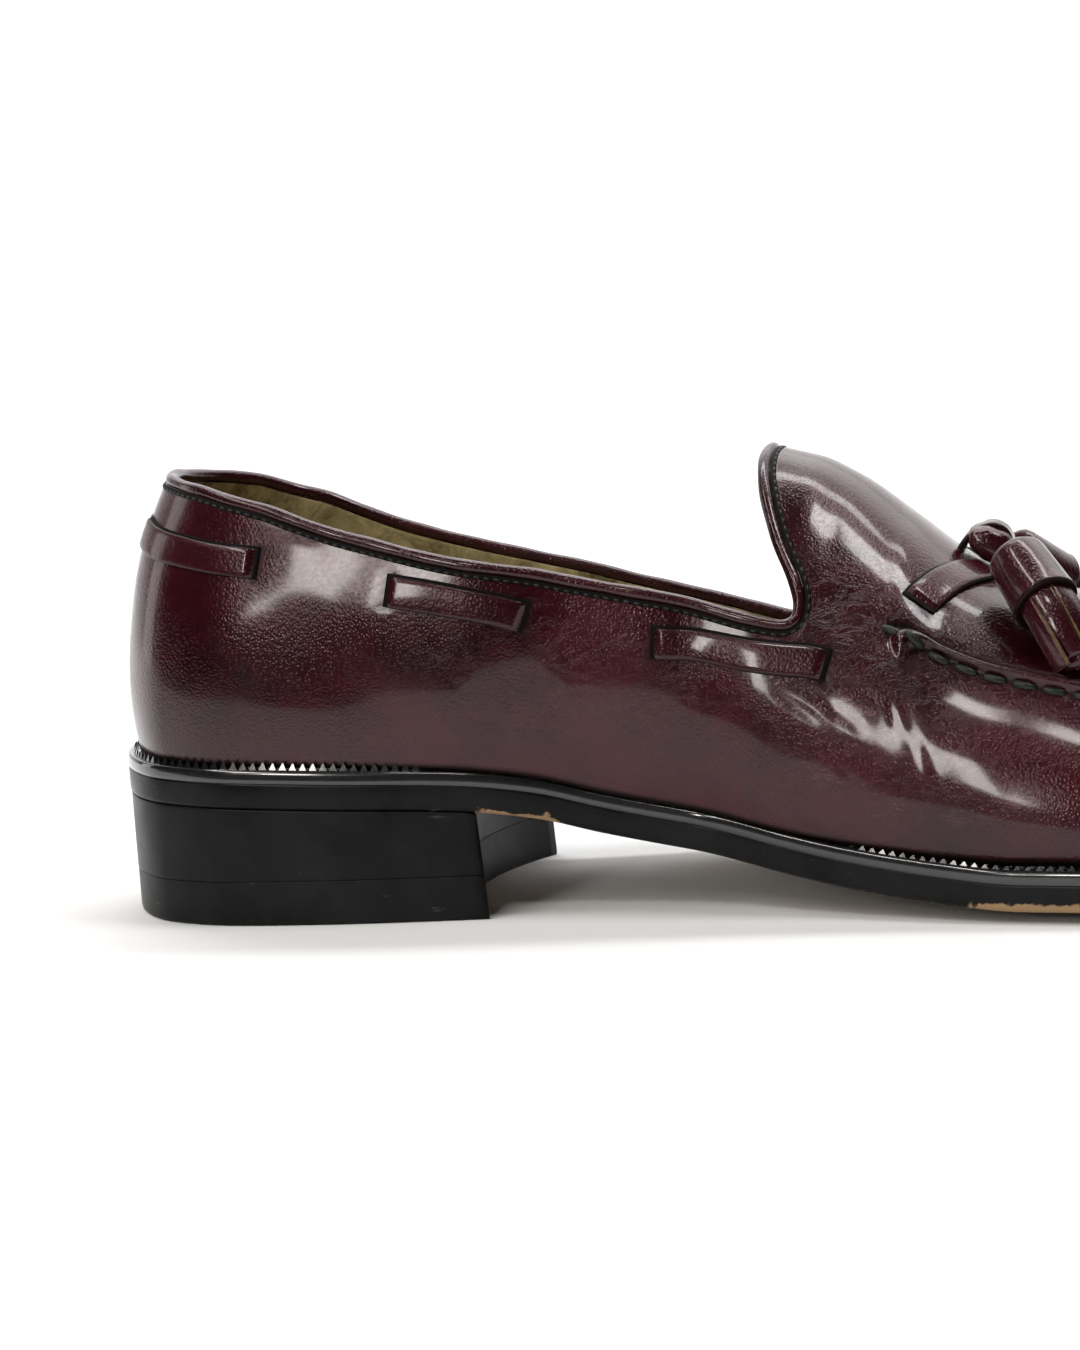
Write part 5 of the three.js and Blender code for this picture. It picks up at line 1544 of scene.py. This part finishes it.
def tassel_frame(side):
    """The head, axis and tip of a tassel as it lies on the vamp."""
    head_share, beside, lift, tip_share, tip_part = TASSELS[side]
    u_head = u_at_ridge(head_share)
    start = np.array([u_head, theta_beside(side, u_head, beside)])
    x = SOLE_LENGTH * tip_share
    u_tip, t_tip = locate(side, x, seat(x) + VAMP_RISE * tip_part)
    tip = np.array([float(u_tip[0]), float(t_tip[0])])
    mouth = start + (tip - start) * BARREL / (BARREL + FRINGE)
    spot = [last(side, p[0], p[1]) for p in (start, mouth, tip)]
    normal = [normal_on(side, np.array(p[0]), np.array(p[1])) for p in (start, mouth, tip)]
    top = spot[0] + normal[0] * (HEAD + 0.6 + lift)
    axis = unit(spot[1] + normal[1] * (RIM + 0.6) - top)
    up = unit(normal[1] - axis * (normal[1] @ axis))
    across = np.cross(axis, up)
    return dict(top=top, axis=axis, up=up, across=across, tip=spot[2], tip_normal=normal[2])


# %% The barrel
def barrel_mesh(lay):
    """A turned barrel with a lapped seam, pressed a little out of round."""
    inner, around, mouth_row = RIM - BARREL_WALL, 56, 9
    profile = [(0.02, 0.5), (HEAD * 0.35, 0.25), (HEAD * 0.72, 0.0), (HEAD * 0.88, 0.15),
               (HEAD * 0.965, 0.7), (HEAD * 1.0, 1.7), (HEAD * 1.03, BARREL * 0.35),
               (HEAD * 1.07, BARREL * 0.70), (RIM * 0.985, BARREL * 0.94), (RIM, BARREL * 0.98),
               (RIM * 0.985, BARREL), (RIM - 0.45, BARREL + 0.12), (inner + 0.35, BARREL + 0.1),
               (inner, BARREL - 0.15), (inner * 0.97, BARREL - 2.0), (inner * 0.92, BARREL - RECESS),
               (0.02, BARREL - RECESS)]
    angle = 2 * np.pi * np.arange(around) / around
    lap = 1 + 0.030 * np.exp(-(((angle - 4.2 + np.pi) % (2 * np.pi) - np.pi) / 0.16) ** 2)
    press = 1 + 0.018 * np.sin(2 * angle + 0.6) + 0.010 * np.sin(5 * angle)
    rings = []
    for radius, down in profile:
        r = radius * press * lap
        rings.append(lay["top"] + lay["axis"] * down + np.outer(r * np.cos(angle), lay["up"])
                     + np.outer(r * np.sin(angle), lay["across"]))
    points, faces = loft(np.array(rings))
    # Painted shade: the rim and the inside of the open mouth are marked dark.
    dark = [0.85 if row >= mouth_row else 0.0 for row in range(len(profile)) for _ in range(around)]
    return points, faces, dark + [0.0, 0.9]


# %% The fringe
STRIPS = [  # turn round the axis in radians, share of the reach from it
    (-1.20, 1.0), (-0.35, 1.0), (0.50, 1.0), (1.35, 1.0), (-0.80, 0.5), (0.10, 0.5), (0.95, 0.5)]


def fringe_mesh(lay):
    """Strips laid round the axis of the barrel, and some nearer to it."""
    reach = RIM - BARREL_WALL - STRIP_THICK
    mouth = lay["top"] + lay["axis"] * BARREL
    section = [(-0.5, 0.08, 1), (-0.5, 0.92, 1), (-0.44, 1.0, 0), (0.0, 1.04, 0), (0.44, 1.0, 0),
               (0.5, 0.92, 1), (0.5, 0.08, 1), (0.44, 0.0, 0), (0.0, 0.0, 0), (-0.44, 0.0, 0)]
    points, faces, slots = [], [], []
    for turn, share in STRIPS:
        c, s = math.cos(turn), math.sin(turn)
        radial = lay["up"] * c + lay["across"] * s
        root = mouth - lay["axis"] * RECESS * 0.9 + radial * reach * share
        bend = mouth + lay["axis"] * FRINGE * 0.35 + radial * reach * share * 1.15
        high = 0.6 + (1.0 + c) * 1.5 * share
        goal = (lay["tip"] + lay["tip_normal"] * high + lay["across"] * 5.2 * s * share
                + lay["axis"] * 0.9 * math.sin(5.1 * turn + 2))
        t = np.linspace(0, 1, 19)[:, None]
        path = (1 - t) ** 2 * root + 2 * t * (1 - t) * bend + t * t * goal
        facing = lay["tip_normal"] * c + lay["across"] * s
        along = unit(np.gradient(path, axis=0))
        across = unit(np.cross(along, unit(radial + (facing - radial) * t)))
        up = unit(np.cross(across, along))
        rings = []
        for k in range(len(t)):
            need = 0.3 + STRIP_WIDE / 2 * abs(float(across[k] @ lay["tip_normal"]))
            place = settle(path[k], lay["tip_normal"], need) if k > 4 else path[k]
            rings.append([place + across[k] * a * STRIP_WIDE + up[k] * (h * STRIP_THICK - 0.9 * a * a)
                          for a, h, _m in section])
        strip_points, strip_faces = loft(np.array(rings))
        shift = sum(len(p) for p in points)
        points.append(strip_points)
        for face in strip_faces:
            ends = [section[k % len(section)][2] for k in face[:2]]
            bare = len(face) == 4 and all(ends)
            slots.append(1 if bare or len(face) == 3 else 0)
            faces.append([k + shift for k in face])
    return np.vstack(points), faces, slots


for side, word in SIDES.items():
    lay = tassel_frame(side)
    barrel_points, barrel_faces, dark = barrel_mesh(lay)
    strip_points, strip_faces, strip_slots = fringe_mesh(lay)
    shift = len(barrel_points)
    points = np.vstack([barrel_points, strip_points])
    faces = barrel_faces + [[k + shift for k in face] for face in strip_faces]
    tassel = make_piece(f"fine_tassel_{word}", points, faces, ["oxblood_lace", "raw_edge_leather"],
                        [0] * len(barrel_faces) + strip_slots, [f"tassel_{word}"])
    paint(tassel, "edge", dark + [0.0] * len(strip_points))

# %% [markdown]
# ## Floor, light and camera
# A product photographer lights polished leather with large, soft, nearby lights, because the
# leather shows their shapes. A white floor and backdrop give the pale band low on the sides, a
# broad light overhead gives the tongue its sheen, a long thin one at the left gives the narrow
# streaks, and the room behind the camera stays dark. The front left corner of the floor is cut
# away outside the picture, so that the leather doesn't mirror it.

# %% Floor and backdrop
def studio_card(name, profile, right):
    """A white sheet: rows of y, z and the x of the left edge, up to one x at the right."""
    points, faces = [], []
    for y, z, left in profile:
        points += [(left, y, z), (right, y, z)]
    for k in range(len(profile) - 1):
        faces.append((2 * k, 2 * k + 1, 2 * k + 3, 2 * k + 2))
    mesh = bpy.data.meshes.new(name)
    mesh.from_pydata(points, [], faces)
    card = bpy.data.objects.new(name, mesh)
    bpy.context.scene.collection.objects.link(card)
    mesh.shade_smooth()
    mesh.materials.append(studio_white)


studio_white = bpy.data.materials.new("studio_white")
studio_white.use_nodes = True
paper = studio_white.node_tree.nodes["Principled BSDF"]
paper.inputs["Base Color"].default_value = (0.90, 0.90, 0.90, 1)
paper.inputs["Roughness"].default_value = 0.9
LEFT, RIGHT, BACK, COVE, TOP = -2.4, 2.6, 0.9, 0.6, 2.4
sweep = [(-0.305, 0.0, 0.024), (-0.20, 0.0, -0.012), (-0.199, 0.0, LEFT), (BACK, 0.0, LEFT)]
for bend in np.linspace(0.1, math.pi / 2, 14):
    sweep.append((BACK + COVE * math.sin(bend), COVE - COVE * math.cos(bend), LEFT))
studio_card("studio_floor", sweep + [(BACK + COVE, TOP, LEFT)], RIGHT)
print("floor stops", -sweep[0][0], "m in front of the shoe's axis")

# %% Lights
def soft_light(name, place, aim, size, power, tint=(1, 1, 1), along=None):
    """A soft box; along turns its long side."""
    data = bpy.data.lights.new(name, "AREA")
    data.shape, data.size, data.size_y = "RECTANGLE", size[0], size[1]
    data.energy, data.color = power, tint
    light = bpy.data.objects.new(name, data)
    light.location = place
    light.rotation_euler = (Vector(aim) - Vector(place)).to_track_quat("-Z", "Y").to_euler()
    if along:
        back = (Vector(place) - Vector(aim)).normalized()
        side = (Vector(along) - back * Vector(along).dot(back)).normalized()
        light.rotation_euler = Matrix((side, back.cross(side), back)).transposed().to_euler()
    bpy.context.scene.collection.objects.link(light)


warm = (1.0, 0.97, 0.92)
soft_light("top_back", (0.10, 0.95, 1.20), (0.10, 0.10, 0.0), (2.6, 1.2), 9)
soft_light("front_left", (-0.99, -2.67, 0.86), (0.06, 0.0, 0.06), (0.32, 0.75), 17, warm)
soft_light("front_high", (-0.08, -0.95, 1.32), (0.14, 0.0, 0.05), (0.22, 0.18), 3.4, warm)
soft_light("long_tube", (-0.63, -0.57, 1.05), (0.0, 0.0, 0.08), (1.40, 0.10), 8.0, warm,
           along=(-0.14, 1.26, 0.62))
soft_light("top_right", (0.60, -0.10, 1.15), (0.13, 0.0, 0.05), (0.28, 0.28), 5.0)
soft_light("left_side", (-1.25, 0.35, 0.35), (0.0, 0.0, 0.05), (0.4, 0.8), 1.6)
soft_light("backdrop_light", (0.1, 0.7, 2.0), (0.1, 1.5, 0.5), (2.2, 0.4), 30)
world = bpy.data.worlds.new("room")
world.use_nodes = True
world.node_tree.nodes["Background"].inputs["Color"].default_value = (0.9, 0.95, 1.0, 1)
world.node_tree.nodes["Background"].inputs["Strength"].default_value = 0.015
bpy.context.scene.world = world
bpy.context.scene.view_settings.view_transform = "Standard"
print("lights", len(bpy.data.lights))

# %% Camera
YAW, PITCH, ROLL, CAMERA_AT = 0.215, 0.139, -0.070, (0.2134, -0.750, 0.1513)
FOCAL_PIXELS, PHOTO_HEIGHT, SENSOR = 3787.0, 1350, 36.0
ahead = np.array([-math.sin(YAW) * math.cos(PITCH), math.cos(YAW) * math.cos(PITCH), -math.sin(PITCH)])
right = np.array([math.cos(YAW), math.sin(YAW), 0.0])
above = np.cross(right, ahead)
right, above = (math.cos(ROLL) * right + math.sin(ROLL) * above,
                math.cos(ROLL) * above - math.sin(ROLL) * right)
lens = bpy.data.cameras.new("camera")
lens.sensor_width, lens.lens = SENSOR, FOCAL_PIXELS / PHOTO_HEIGHT * SENSOR
lens.clip_start, lens.clip_end = 0.02, 20
camera = bpy.data.objects.new("camera", lens)
turned = Matrix((right, above, -ahead)).transposed().to_4x4()
turned.translation = Vector(CAMERA_AT)
camera.matrix_world = turned
bpy.context.scene.collection.objects.link(camera)
bpy.context.scene.camera = camera
print("lens", round(lens.lens, 1), "mm")
